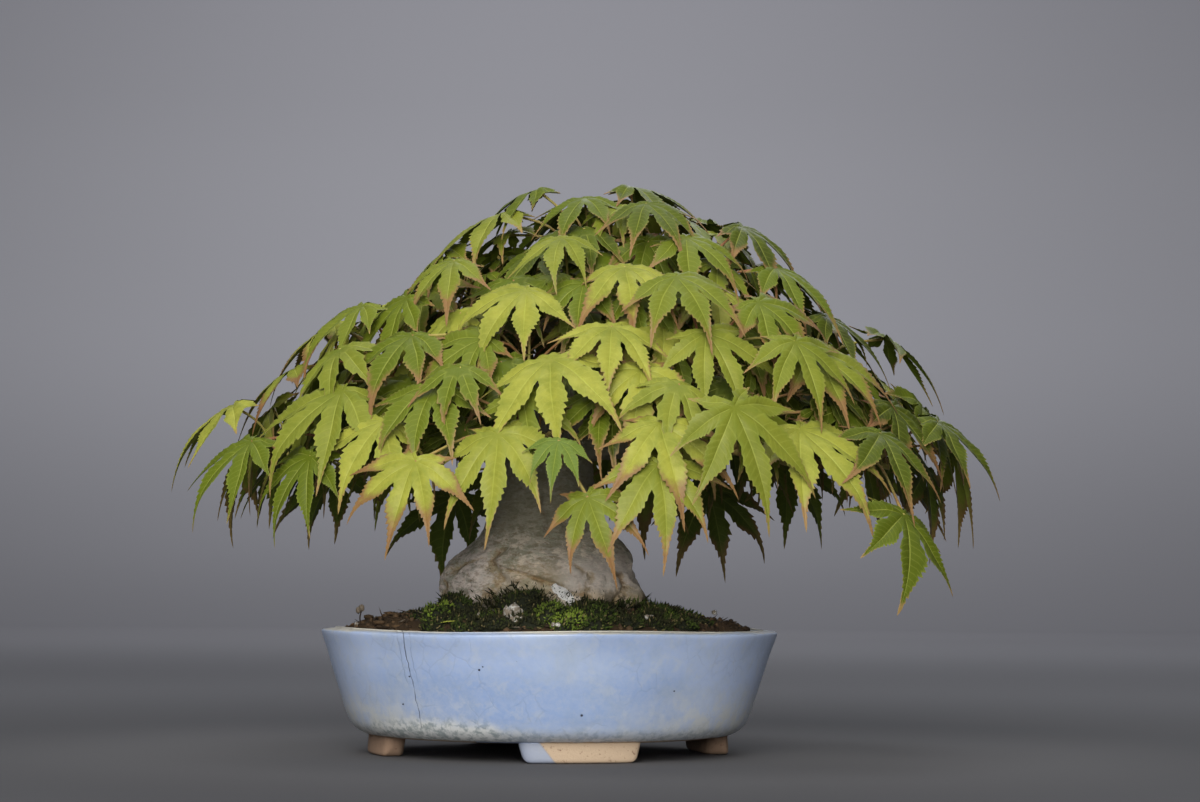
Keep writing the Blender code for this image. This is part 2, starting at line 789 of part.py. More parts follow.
def soil_rings(grow=0.0):
    """Levels of the soil: under side, wall, mounded top, then down the hole for the trunk."""
    floor = POT_FOOT_HEIGHT + POT_FLOOR + 2.0 * GAP + SCREEN_THICKNESS
    inside = inner_wall()
    rings = [
        turned_ring(0.0555 - GAP, floor, TRUNK_SIDES),
        turned_ring(inside[2][0] - 2.0 * GAP, inside[2][1], TRUNK_SIDES),
        turned_ring(inside[1][0] - 2.0 * GAP, inside[1][1], TRUNK_SIDES),
        turned_ring(POT_RIM - RIM_WIDTH - 0.0012, SOIL_EDGE + grow, TRUNK_SIDES),
    ]
    for radius, height, wave in ((0.0595, SOIL_SHOULDER, 0.0007), (0.0475, 0.0446, 0.0006)):
        ring = turned_ring(radius, height + grow, TRUNK_SIDES)
        for corner, point in enumerate(ring):
            angle = TURN * corner / TRUNK_SIDES
            point.z += wave * (math.sin(5.0 * angle + 1.0) + math.sin(9.0 * angle))
        rings.append(ring)
    return rings


def make_soil():
    """The soil, with a plain hole that the buried foot of the trunk stands in."""
    hole = trunk_outline(TRUNK_RINGS[0], GAP)
    rings = soil_rings()
    for height in (SOIL_CREST, TRUNK_RINGS[0][0] - GAP):
        rings.append([Vector((point.x, point.y, height)) for point in hole])
    return finished(new_object("soil", lofted(rings)), "soil")


def trunk_shape(grow=0.0):
    """The trunk without its limbs."""
    return lofted([trunk_outline(ring, grow) for ring in TRUNK_RINGS])


def wood_shapes(bars):
    """The trunk, its limbs and its branches, which run into each other."""
    return [trunk_shape()] + [tube_shape(path, radii, sides) for path, radii, sides in bars]


def together(shapes):
    """Several shapes as one list of points and one of faces."""
    points = []
    faces = []
    for shape_points, shape_faces in shapes:
        start = len(points)
        points += shape_points
        faces += [tuple(start + corner for corner in face) for face in shape_faces]
    return points, faces


def moss_shape(pad):
    """A cushion of moss: a flattened ball with a lumpy top."""
    bearing, distance, half_length, half_depth, height = pad
    angle = math.radians(bearing)
    middle = Vector((TRUNK_RINGS[0][3], TRUNK_RINGS[0][4], SOIL_CREST - 0.001))
    middle += Vector((math.cos(angle), math.sin(angle), 0.0)) * distance
    ball = bmesh.new()
    bmesh.ops.create_icosphere(ball, subdivisions=2, radius=1.0)
    for vert in ball.verts:
        lump = 1.0 + 0.10 * math.sin(5.0 * vert.co.x + bearing) * math.sin(4.0 * vert.co.y + distance)
        local = Vector((vert.co.x * half_depth, vert.co.y * half_length, vert.co.z * height)) * lump
        vert.co = middle + Matrix.Rotation(angle, 3, "Z") @ local
    points = [vert.co.copy() for vert in ball.verts]
    faces = [tuple(vert.index for vert in face.verts) for face in ball.faces]
    ball.free()
    return points, faces


def make_moss():
    """Moss pads, each cut to lie on the soil and against the trunk."""
    middle = turned_ring(MOSS_CORE, SOIL_CREST + 2.0 * GAP, TRUNK_SIDES)
    ground = lofted([*soil_rings(grow=2.0 * GAP), middle])
    for number, pad in enumerate(MOSS_PADS, start=1):
        made = new_object(f"moss_{number}", moss_shape(pad))
        cut(made, ground)
        cut(made, trunk_shape(grow=2.0 * GAP))
        finished(made, "moss")


def make_sprays(sprays):
    """One solid for each spray: its twig with the stalks sunk in it."""
    for number, spray in enumerate(sprays, start=1):
        shapes = [twig_shape(spray)] + [leaf_shape(leaf) for leaf in spray.leaves]
        finished(fused(f"spray_{number:02d}", shapes), "leaf")


def main():
    """Builds the whole plant in its pot."""
    for made in list(bpy.data.objects):
        bpy.data.objects.remove(made)
    bars, sprays = plan_wood()
    wood = wood_shapes(bars)
    plan_crown(sprays, together(wood))
    make_pot()
    make_screen()
    make_soil()
    finished(fused("trunk", wood), "bark")
    make_moss()
    make_sprays(sprays)


main()
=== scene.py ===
"""Looks of a Japanese maple bonsai in a round blue pot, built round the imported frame.

Metres, +Z up, and the front of the tree faces -Y. Limbs, twigs and leaves are laid out by the same
rule as the solids, so every fine piece stands where its solid stands.
"""

import sys
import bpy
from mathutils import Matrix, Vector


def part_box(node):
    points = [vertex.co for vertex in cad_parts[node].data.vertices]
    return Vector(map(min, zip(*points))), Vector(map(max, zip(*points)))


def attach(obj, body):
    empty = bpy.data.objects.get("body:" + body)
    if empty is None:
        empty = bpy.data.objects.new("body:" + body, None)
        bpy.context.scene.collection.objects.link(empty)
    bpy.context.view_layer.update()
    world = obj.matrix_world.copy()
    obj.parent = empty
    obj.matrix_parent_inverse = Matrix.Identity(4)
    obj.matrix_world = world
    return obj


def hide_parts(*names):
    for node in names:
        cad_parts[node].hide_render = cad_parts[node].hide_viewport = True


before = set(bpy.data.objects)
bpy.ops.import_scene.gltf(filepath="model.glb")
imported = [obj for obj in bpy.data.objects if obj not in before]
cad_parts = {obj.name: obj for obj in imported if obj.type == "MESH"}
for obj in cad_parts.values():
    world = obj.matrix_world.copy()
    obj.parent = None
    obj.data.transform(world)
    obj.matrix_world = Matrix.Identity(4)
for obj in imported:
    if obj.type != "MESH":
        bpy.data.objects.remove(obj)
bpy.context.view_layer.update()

import logging
import math
import random
from dataclasses import dataclass, field, replace
from enum import Enum
from itertools import product

import bpy
import numpy as np
from mathutils import Matrix, Vector
from mathutils.bvhtree import BVHTree

LOG = logging.getLogger("bonsai")
TURN = 2.0 * math.pi
GAP = 0.0003
WELD = 1e-7
WAVE_COUNT = 14

Colour = tuple[float, float, float]
Table = tuple[tuple[float, ...], ...]
Shape = tuple[list[Vector], list[tuple[int, ...]]]
Socket = bpy.types.NodeSocket
Tree = bpy.types.NodeTree
Material = bpy.types.Material
Piece = bpy.types.Object


class Slot(Enum):
    """The material slots, which are logged."""

    GLAZE = "glaze"
    SCREEN = "screen"
    SOIL = "soil"
    BARK = "bark"
    MOSS = "moss"
    LEAF = "leaf"


class Side(Enum):
    """Which side of the crown a line of sight meets."""

    NEAR = -1.0
    FAR = 1.0


@dataclass(frozen=True)
class Waves:
    """Smooth noise as a sum of plane waves, whose directions and phases come from a seed."""

    seed: int
    size: float
    octaves: int = 3

    def at(self, points: np.ndarray) -> np.ndarray:
        """The noise, as the sum over octaves of sin(way . point / size + phase), each half as high.

        Args:
            points: Places in metres, one in a row.

        Returns:
            One value for each place, roughly from -1 to 1.
        """
        chance = np.random.default_rng(self.seed)
        total = np.zeros(len(points))
        for octave in range(self.octaves):
            ways = chance.normal(size=(WAVE_COUNT, 3))
            ways /= np.linalg.norm(ways, axis=1, keepdims=True)
            phases = chance.uniform(0.0, TURN, WAVE_COUNT)
            rate = TURN * 2.0**octave / self.size
            total += np.sin(points @ ways.T * rate + phases).sum(axis=1) / 2.0**octave
        return total / WAVE_COUNT**0.5


@dataclass
class Surface:
    """Points, four-cornered faces, and the marks that a finish reads at each point.

    A face with three corners names its last corner twice.
    """

    points: np.ndarray
    faces: np.ndarray
    marks: dict[str, np.ndarray] = field(default_factory=dict)

    def marked(self, **marks: np.ndarray | float) -> "Surface":
        """Adds marks.

        Args:
            marks: One value for all points, or one for each.

        Returns:
            The surface itself.
        """
        for name, values in marks.items():
            self.marks[name] = np.broadcast_to(np.asarray(values, float), len(self.points))
        return self

    def welded(self) -> "Surface":
        """Makes one point of those that coincide, which closes poles and seams.

        Returns:
            A new surface.
        """
        keys = np.round(self.points / WELD).astype(np.int64)
        _, first, index = np.unique(keys, axis=0, return_index=True, return_inverse=True)
        marks = {name: values[first] for name, values in self.marks.items()}
        return Surface(self.points[first], tidy_faces(index.ravel()[self.faces]), marks)

    def outward(self) -> "Surface":
        """Turns the faces to point out, by the sign of the volume that they enclose.

        Returns:
            The surface itself.
        """
        a, b, c, d = (self.points[self.faces[:, corner]] for corner in range(4))
        volume = np.einsum("ij,ij->i", a, np.cross(b, c) + np.cross(c, d)).sum()
        if volume < 0.0:
            self.faces = tidy_faces(self.faces[:, ::-1])
        return self

    def as_object(self, name: str) -> Piece:
        """Makes a smooth-shaded object at the origin.

        Args:
            name: The piece's name.

        Returns:
            The object, with each mark as an attribute of its points, and creased leaf ribs.
        """
        used = np.ones(self.faces.shape, bool)
        used[:, 3] = self.faces[:, 3] != self.faces[:, 2]
        corners = self.faces[used]
        starts = np.concatenate(([0], np.cumsum(used.sum(axis=1))[:-1]))
        mesh = bpy.data.meshes.new(name)
        mesh.vertices.add(len(self.points))
        mesh.loops.add(len(corners))
        mesh.polygons.add(len(self.faces))
        mesh.vertices.foreach_set("co", self.points.astype(np.float32).ravel())
        mesh.loops.foreach_set("vertex_index", corners.astype(np.int32))
        mesh.polygons.foreach_set("loop_start", starts.astype(np.int32))
        mesh.update(calc_edges=True)
        mesh.validate()
        mesh.shade_smooth()
        if "across" in self.marks:
            ends = np.empty(2 * len(mesh.edges), np.int32)
            mesh.edges.foreach_get("vertices", ends)
            ends = ends.reshape(-1, 2)
            rib = (self.marks["across"] < 0.01) & (self.marks["stalk"] < 0.5)
            border = self.marks["under"] == 0.5
            crease = mesh.attributes.new("sharp_edge", "BOOLEAN", "EDGE")
            crease.data.foreach_set("value", rib[ends].all(axis=1) | border[ends].all(axis=1))
        for mark, values in self.marks.items():
            attribute = mesh.attributes.new(mark, "FLOAT", "POINT")
            attribute.data.foreach_set("value", values.astype(np.float32))
        made = bpy.data.objects.new(name, mesh)
        bpy.context.scene.collection.objects.link(made)
        return made


def tidy_faces(faces: np.ndarray) -> np.ndarray:
    """Faces without repeated corners, apart from the last one of a three-cornered face.

    Args:
        faces: Corners, four in a row.

    Returns:
        The faces that still have an area.
    """
    a, b, c, d = faces.T
    faces = np.where((a == b)[:, None], np.stack((a, c, d, d), axis=1), faces)
    faces = np.where((b == c)[:, None], np.stack((a, b, d, d), axis=1), faces)
    faces = np.where((d == a)[:, None], np.stack((a, b, c, c), axis=1), faces)
    a, b, c, _ = faces.T
    return faces[(a != b) & (b != c) & (a != c)]


def grid_faces(rows: int, columns: int, closed: bool = False) -> np.ndarray:
    """The faces of a grid of points that are numbered row by row.

    Args:
        rows: Number of rows.
        columns: Number of points in a row.
        closed: Whether the last column joins the first.

    Returns:
        Corners, four in a row.
    """
    row, column = np.meshgrid(
        np.arange(rows - 1), np.arange(columns if closed else columns - 1), indexing="ij"
    )
    after = (column + 1) % columns
    corners = (
        row * columns + column,
        (row + 1) * columns + column,
        (row + 1) * columns + after,
        row * columns + after,
    )
    return np.stack([corner.ravel() for corner in corners], axis=1)


def together(surfaces: list[Surface]) -> Surface:
    """Joins several surfaces.

    Args:
        surfaces: The surfaces.

    Returns:
        One surface, with zeros where a part lacks a mark that another has.
    """
    names = sorted({name for surface in surfaces for name in surface.marks})
    starts = np.cumsum([0] + [len(surface.points) for surface in surfaces[:-1]])
    marks = {
        name: np.concatenate([s.marks.get(name, np.zeros(len(s.points))) for s in surfaces])
        for name in names
    }
    points = np.concatenate([surface.points for surface in surfaces])
    faces = np.concatenate([s.faces + start for s, start in zip(surfaces, starts)])
    return Surface(points, faces, marks)


def smooth(table: np.ndarray, count: int) -> np.ndarray:
    """A curve through the rows of a table: cubic pieces with the neighbours' mean slope.

    Args:
        table: Values, one point of the curve in a row.
        count: Number of rows wanted.

    Returns:
        The curve at equal steps of the row number.
    """
    slopes = np.gradient(table, axis=0)
    place = np.linspace(0.0, len(table) - 1.0, count)
    first = np.minimum(place.astype(int), len(table) - 2)
    t = (place - first)[:, None]
    ends = (2.0 * t**3 - 3.0 * t**2 + 1.0) * table[first] + (3.0 * t**2 - 2.0 * t**3) * table[first + 1]
    bends = (t**3 - 2.0 * t**2 + t) * slopes[first] + (t**3 - t**2) * slopes[first + 1]
    return ends + bends


def step_up(value: np.ndarray, low: float, high: float) -> np.ndarray:
    """A smooth step from 0 at low to 1 at high: 3t^2 - 2t^3."""
    t = np.clip((value - low) / (high - low), 0.0, 1.0)
    return t * t * (3.0 - 2.0 * t)


def unit(vectors: np.ndarray) -> np.ndarray:
    """Vectors of length 1, one in a row."""
    return vectors / np.maximum(np.linalg.norm(vectors, axis=-1, keepdims=True), 1e-12)


def swept(path: np.ndarray, radii: np.ndarray, sides: int) -> Surface:
    """A round bar: circles square to a path, drawn in to a point at each end.

    Args:
        path: Points of the middle line, one in a row.
        radii: Radius at each point.
        sides: Number of sides.

    Returns:
        A closed surface, marked with the share of the way along it.
    """
    ways = unit(np.gradient(path, axis=0))
    chord = path[-1] - path[0]
    aside = np.eye(3)[np.argmin(np.abs(chord))]
    across = unit(np.cross(ways, aside))
    other = np.cross(across, ways)
    angles = TURN * np.arange(sides) / sides
    cosines, sines = np.cos(angles)[None, :, None], np.sin(angles)[None, :, None]
    ring = cosines * across[:, None] + sines * other[:, None]
    rows = path[:, None] + ring * radii[:, None, None]
    ends = [np.broadcast_to(path[end], (1, sides, 3)) for end in (0, -1)]
    points = np.concatenate([ends[0], rows, ends[1]]).reshape(-1, 3)
    along = np.concatenate(([0.0], np.linspace(0.0, 1.0, len(path)), [1.0]))
    made = Surface(points, grid_faces(len(path) + 2, sides, closed=True))
    return made.marked(along=np.repeat(along, sides)).welded().outward()


def turned(profile: np.ndarray, sides: int, middle: tuple[float, float] = (0.0, 0.0)) -> Surface:
    """A turned shape: each (radius, height) of a profile carried round an upright axis.

    Args:
        profile: Radius and height, one point in a row.
        sides: Number of sides.
        middle: The axis in X and Y.

    Returns:
        The surface, closed where the profile starts and ends on the axis.
    """
    angles = TURN * np.arange(sides) / sides
    radius = profile[:, :1]
    x = middle[0] + radius * np.cos(angles)
    y = middle[1] + radius * np.sin(angles)
    z = np.broadcast_to(profile[:, 1:2], x.shape)
    points = np.stack((x, y, z), axis=-1).reshape(-1, 3)
    return Surface(points, grid_faces(len(profile), sides, closed=True)).welded()


def round_ball(levels: int, sides: int) -> Surface:
    """A ball of radius 1, turned from a half circle."""
    tall = np.linspace(-TURN / 4, TURN / 4, levels)
    return turned(np.column_stack((np.cos(tall), np.sin(tall))), sides).outward()


class Graph:
    """A node tree that is written as sums on its values."""

    def __init__(self, tree: Tree) -> None:
        """Starts on the tree of a material or a group."""
        self.tree = tree

    def node(self, kind: str, inputs: dict[str | int, object], **settings: object) -> bpy.types.Node:
        """Adds a node.

        Args:
            kind: The node's type name, without its Shader prefix.
            inputs: A value to link or a number to set for each named input.
            settings: The node's own options.

        Returns:
            The node.
        """
        made = self.tree.nodes.new("ShaderNode" + kind)
        for option, value in settings.items():
            setattr(made, option, value)
        for name, value in inputs.items():
            self.feed(made.inputs[name], value)
        return made

    def feed(self, socket: Socket, value: object) -> None:
        """Links a socket to a value, or sets it.

        Args:
            socket: The input.
            value: A value of the graph, a number or a colour.
        """
        if isinstance(value, Value):
            self.tree.links.new(value.socket, socket)
        elif isinstance(value, tuple) and socket.type == "RGBA":
            socket.default_value = (*value, 1.0)
        else:
            socket.default_value = value

    def value(self, kind: str, inputs: dict, output: str | int = 0, **settings: object) -> "Value":
        """Adds a node, as the value of one of its outputs."""
        return Value(self, self.node(kind, inputs, **settings).outputs[output])


class Value:
    """An output of a node. Sums on it add nodes to its graph."""

    def __init__(self, graph: Graph, socket: Socket) -> None:
        """Wraps an output of a node in the graph."""
        self.graph, self.socket = graph, socket

    def math(self, operation: str, other: object = 0.0) -> "Value":
        """A sum on this value and another."""
        return self.graph.value("Math", {0: self, 1: other}, operation=operation)

    def __add__(self, other: object) -> "Value":
        """This value and another."""
        return self.math("ADD", other)

    def __sub__(self, other: object) -> "Value":
        """This value less another."""
        return self.math("SUBTRACT", other)

    def __mul__(self, other: object) -> "Value":
        """This value times another."""
        return self.math("MULTIPLY", other)

    def __rtruediv__(self, other: float) -> "Value":
        """A number divided by this value."""
        return self.graph.value("Math", {0: other, 1: self}, operation="DIVIDE")

    def __abs__(self) -> "Value":
        """This value without its sign."""
        return self.math("ABSOLUTE")

    def most(self, other: "Value") -> "Value":
        """The larger of this value and another."""
        return self.math("MAXIMUM", other)

    def ramp(self, low: object, high: object, start: float = 0.0, end: float = 1.0) -> "Value":
        """A smooth step from start to end as this value goes from low to high."""
        inputs = {"Value": self, "From Min": low, "From Max": high, "To Min": start, "To Max": end}
        return self.graph.value("MapRange", inputs, interpolation_type="SMOOTHSTEP")

    def axis(self, name: str) -> "Value":
        """One coordinate of this place."""
        return self.graph.value("SeparateXYZ", {"Vector": self}, name)

    def vector(self, operation: str, other: object) -> "Value":
        """A sum on this place and another, coordinate by coordinate."""
        return self.graph.value("VectorMath", {0: self, 1: other}, operation=operation)

    def scaled(self, factor: object) -> "Value":
        """This place or colour times a number."""
        return self.graph.value("VectorMath", {0: self, "Scale": factor}, operation="SCALE")

    def length(self) -> "Value":
        """This place's distance from the origin."""
        return self.graph.value("VectorMath", {0: self}, "Value", operation="LENGTH")

    def noise(self, size: float, detail: float = 4.0, rough: float = 0.55) -> "Value":
        """Noise from 0 to 1 at this place, whose patches are about as wide as the size in metres."""
        inputs = {"Vector": self, "Scale": 1.0 / size, "Detail": detail, "Roughness": rough}
        return self.graph.value("TexNoise", inputs)


def new_group(name: str, inputs: dict[str, float | None]) -> tuple[Graph, list[Value], Socket]:
    """Starts a shared effect that puts out one mask.

    Args:
        name: The group's name.
        inputs: The default of each input; None for a place.

    Returns:
        Its graph, its inputs as values, and the socket that takes the mask.
    """
    tree = bpy.data.node_groups.new(name, "ShaderNodeTree")
    for title, default in inputs.items():
        kind = "NodeSocketVector" if default is None else "NodeSocketFloat"
        socket = tree.interface.new_socket(name=title, in_out="INPUT", socket_type=kind)
        if default is not None:
            socket.default_value = default
    tree.interface.new_socket(name="Mask", in_out="OUTPUT", socket_type="NodeSocketFloat")
    graph = Graph(tree)
    given = tree.nodes.new("NodeGroupInput").outputs
    mask = tree.nodes.new("NodeGroupOutput").inputs["Mask"]
    return graph, [Value(graph, given[title]) for title in inputs], mask


def mottle_group() -> Tree:
    """Soft-edged patches: fine noise, shifted by a coarser noise, then cut between two levels.

    Returns:
        The group.
    """
    inputs = {"Place": None, "Size": 0.01, "Low": 0.45, "High": 0.55}
    graph, (place, size, low, high), mask = new_group("mottle", inputs)
    scale = 1.0 / size
    coarse = graph.value("TexNoise", {"Vector": place, "Scale": scale, "Detail": 2.0}, "Color")
    shifted = place.scaled(scale).vector("ADD", coarse)
    fine = graph.value("TexNoise", {"Vector": shifted, "Scale": 1.0, "Detail": 7.0, "Roughness": 0.62})
    graph.feed(mask, fine.ramp(low, high))
    return graph.tree


def speck_group() -> Tree:
    """Scattered round specks: cells of which a share is kept, each drawn out to a radius.

    Returns:
        The group.
    """
    inputs = {"Place": None, "Size": 0.004, "Radius": 0.1, "Share": 0.2}
    graph, (place, size, radius, share), mask = new_group("specks", inputs)
    cells = graph.node("TexVoronoi", {"Vector": place, "Scale": 1.0 / size})
    tint, distance = (Value(graph, cells.outputs[name]) for name in ("Color", "Distance"))
    kept = tint.axis("X").math("LESS_THAN", share)
    graph.feed(mask, distance.ramp(radius, radius * 0.4) * kept)
    return graph.tree


@dataclass(frozen=True)
class Effects:
    """The effects that several finishes share."""

    mottle: Tree
    specks: Tree


class Skin(Graph):
    """The graph of a material, with the place in the frame's own metres and the shared effects."""

    def __init__(self, name: str, effects: Effects | None = None) -> None:
        """Starts a material.

        Args:
            name: The material's name.
            effects: The shared effects, if it uses them.
        """
        self.material = bpy.data.materials.new(name)
        self.material.use_nodes = True
        super().__init__(self.material.node_tree)
        self.effects = effects
        self.place = self.value("TexCoord", {}, "Object")

    def mark(self, name: str) -> Value:
        """A mark of the surface's points."""
        return self.value("Attribute", {}, "Fac", attribute_name=name)

    def mottle(self, size: float, low: float, high: float, place: Value | None = None) -> Value:
        """The shared patches, of a size in metres, cut between a low and a high level."""
        inputs = {"Place": place or self.place, "Size": size, "Low": low, "High": high}
        return self.value("Group", inputs, node_tree=self.effects.mottle)

    def layers(self, base: Value | Colour, *coats: tuple) -> Value:
        """Coats of colour, one over another.

        Args:
            base: The colour under them all.
            coats: The colour of each, its share from 0 to 1, and the most it covers if under 1.

        Returns:
            The colour that shows.
        """
        for colour, share, *most in coats:
            share = share * most[0] if most else share
            base = self.value("Mix", {0: share, 6: base, 7: colour}, 2, data_type="RGBA")
        return base

    def finish(
        self,
        colour: Value,
        roughness: Value | float,
        relief: Value | None = None,
        depth: float = 0.0,
        strength: float = 1.0,
        specular: float = 0.5,
    ) -> Material:
        """Feeds the shader.

        Args:
            colour: The base colour.
            roughness: The roughness.
            relief: A height between 0 and 1, if the surface has one.
            depth: What that height stands for, in metres.
            strength: How strongly the relief shows.
            specular: The level of the plain reflection.

        Returns:
            The material.
        """
        inputs = self.tree.nodes["Principled BSDF"].inputs
        self.feed(inputs["Base Color"], colour)
        self.feed(inputs["Roughness"], roughness)
        inputs["Specular IOR Level"].default_value = specular
        if relief:
            bump = {"Height": relief, "Distance": depth, "Strength": strength}
            bump = self.value("Bump", bump, "Normal")
            self.feed(inputs["Normal"], bump)
        return self.material


@dataclass(frozen=True)
class LeafFinish:
    """Thin spring leaves: lime to green by leaf, brown-tan tips, paler ribs, green to tan stalks."""

    lime: Colour = (0.345, 0.345, 0.050)
    green: Colour = (0.104, 0.136, 0.007)
    shade: Colour = (0.031, 0.039, 0.003)
    young: Colour = (0.135, 0.205, 0.036)
    rust: Colour = (0.190, 0.075, 0.034)
    tan: Colour = (0.345, 0.205, 0.088)
    rib: Colour = (0.420, 0.450, 0.090)
    stalk: Colour = (0.380, 0.330, 0.090)
    stalk_red: Colour = (0.300, 0.130, 0.060)

    def material(self, effects: Effects) -> Material:
        """Builds the material, which reads the marks of blades and stalks.

        Args:
            effects: The shared effects.

        Returns:
            The material.
        """
        skin = Skin("spring_leaf", effects)
        place = skin.place
        along, tone, rust, rim = (skin.mark(name) for name in ("along", "tone", "rust", "rim"))
        patches = skin.mottle(0.012, 0.38, 0.66)
        dapple = skin.mottle(0.0045, 0.46, 0.60) * 0.16 + patches * 0.36
        # Side ribs lie half way between the teeth's notches, as the mark "row" counts them.
        beside = abs((skin.mark("row") + 0.5).math("FRACT") - 0.5)
        ribs = (beside.ramp(0.12, 0.01) * 0.12).most(skin.mark("across").ramp(0.08, 0.02) * 0.34)
        # The tip's colour starts further in where the leaf is rustier and at an uneven edge.
        uneven = place.noise(0.0032, 5.0, 0.65) * 0.42 + rim.math("POWER", 3.0) * 0.20
        past = along + uneven + rust * 0.44 - 1.28
        warm = skin.layers(self.tan, (self.rust, place.noise(0.004) * 0.8 + rust - 0.70))
        # The mark tone holds each leaf's own tone with painted shade in it; the lowest tones take the
        # shade colour.
        blade = skin.layers(
            self.shade,
            (self.green, tone.ramp(0.00, 0.42)),
            (self.lime, tone.ramp(0.32, 0.90)),
            (self.green, along.ramp(0.45, 0.0), 0.30),
            (self.green, dapple),
            (self.young, skin.mark("young")),
            (self.rib, ribs),
            (self.rib, rim.ramp(0.80, 1.0) * along.ramp(0.20, 0.60), 0.22),
            (warm, past.ramp(-0.10, 0.15), 0.90),
            (self.rust, rim.ramp(0.86, 1.0) * along.ramp(0.30, 0.75) * rust, 0.60),
            (self.young, skin.mark("under"), 0.30),
        )
        stem = skin.layers(self.stalk, (self.stalk_red, place.noise(0.02).ramp(0.42, 0.65)))
        colour = skin.layers(blade, (stem, skin.mark("stalk")))
        relief = place.noise(0.0010, 2.0) - ribs * 0.9
        return skin.finish(colour, patches.ramp(0.0, 1.0, 0.44, 0.62), relief, 0.00012, 0.6, 0.19)


@dataclass(frozen=True)
class BarkFinish:
    """Old grey maple bark: soft lichen clouds, golden-brown seams, olive neck, a bare white scar."""

    grey: Colour = (0.590, 0.525, 0.420)
    pale: Colour = (0.900, 0.795, 0.650)
    lilac: Colour = (0.860, 0.765, 0.715)
    blush: Colour = (0.900, 0.790, 0.710)
    olive: Colour = (0.255, 0.240, 0.150)
    lichen: Colour = (0.420, 0.430, 0.310)
    gold: Colour = (0.520, 0.370, 0.170)
    brown: Colour = (0.260, 0.150, 0.070)
    dark: Colour = (0.075, 0.065, 0.045)
    scar: Colour = (0.92, 0.91, 0.88)
    scar_place: tuple[float, float, float] = (-0.0045, -0.0285, 0.0520)
    scar_size: tuple[float, float, float] = (0.0046, 0.010, 0.0021)
    scar_slope: float = 0.72

    def material(self, effects: Effects) -> Material:
        """Builds the material, which reads the mark "seam" of the clefts.

        Args:
            effects: The shared effects.

        Returns:
            The material.
        """
        skin = Skin("old_bark", effects)
        place = skin.place
        across, height = place.axis("X"), place.axis("Z")
        flat = place.vector("MULTIPLY", (1.0, 1.0, 2.2))
        tall = place.vector("MULTIPLY", (1.0, 1.0, 0.22))
        pale = skin.mottle(0.009, 0.46, 0.56)
        grain = flat.noise(0.0022, 6.0, 0.75)
        ragged = skin.mark("seam") + place.noise(0.0035, 5.0, 0.7).ramp(0.30, 0.70, -0.60, 0.40)
        # Stains rise unevenly from the soil, highest to the right. The bark is also darker close to the
        # soil, reaching highest a little left of the trunk's axis.
        stained = height + place.noise(0.006, 4.0) * 0.006
        skirt = stained.ramp(0.0585, 0.0540) * across.ramp(-0.004, 0.006)
        near_soil = stained - abs(across + 0.020).ramp(0.016, 0.005, 0.0, 0.0042)
        # The scar is a sloping oval with a torn edge.
        shift = place.vector("SUBTRACT", self.scar_place)
        slope = skin.value("CombineXYZ", {"Z": shift.axis("X") * self.scar_slope})
        far = shift.vector("ADD", slope).vector("DIVIDE", self.scar_size).length()
        torn = far + place.noise(0.0022, 5.0, 0.7) * 1.6
        colour = skin.layers(
            self.grey,
            (self.pale, pale),
            (self.lilac, across.ramp(-0.022, -0.036), 0.60),
            (self.lichen, skin.mottle(0.007, 0.50, 0.58), 0.60),
            (self.olive, skin.mottle(0.0045, 0.48, 0.58, flat), 0.62),
            (self.brown, grain.ramp(0.52, 0.36), 0.58),
            (self.pale, place.noise(0.0013, 4.0, 0.7).ramp(0.56, 0.68), 0.40),
            (self.blush, abs(across - 0.007).ramp(0.018, 0.008) * height.ramp(0.068, 0.060), 0.60),
            (self.gold, abs(across + 0.015).ramp(0.013, 0.004) * height.ramp(0.066, 0.057), 0.34),
            (self.olive, height.ramp(0.062, 0.078), 0.72),
            (self.gold, ragged.ramp(0.20, 0.75) * height.ramp(0.072, 0.062), 0.55),
            (self.brown, ragged.ramp(0.80, 1.10), 0.70),
            (self.gold, skirt, 0.55),
            (self.dark, skirt * tall.noise(0.0032, 3.0).ramp(0.50, 0.60), 0.70),
            (self.dark, near_soil.ramp(0.0545, 0.0490), 0.88),
            (self.scar, torn.ramp(1.82, 1.70)),
        )
        relief = grain - ragged.ramp(0.4, 1.0) * 0.5
        return skin.finish(colour, pale.ramp(0.0, 1.0, 0.80, 0.94), relief, 0.00110, 0.9, 0.22)


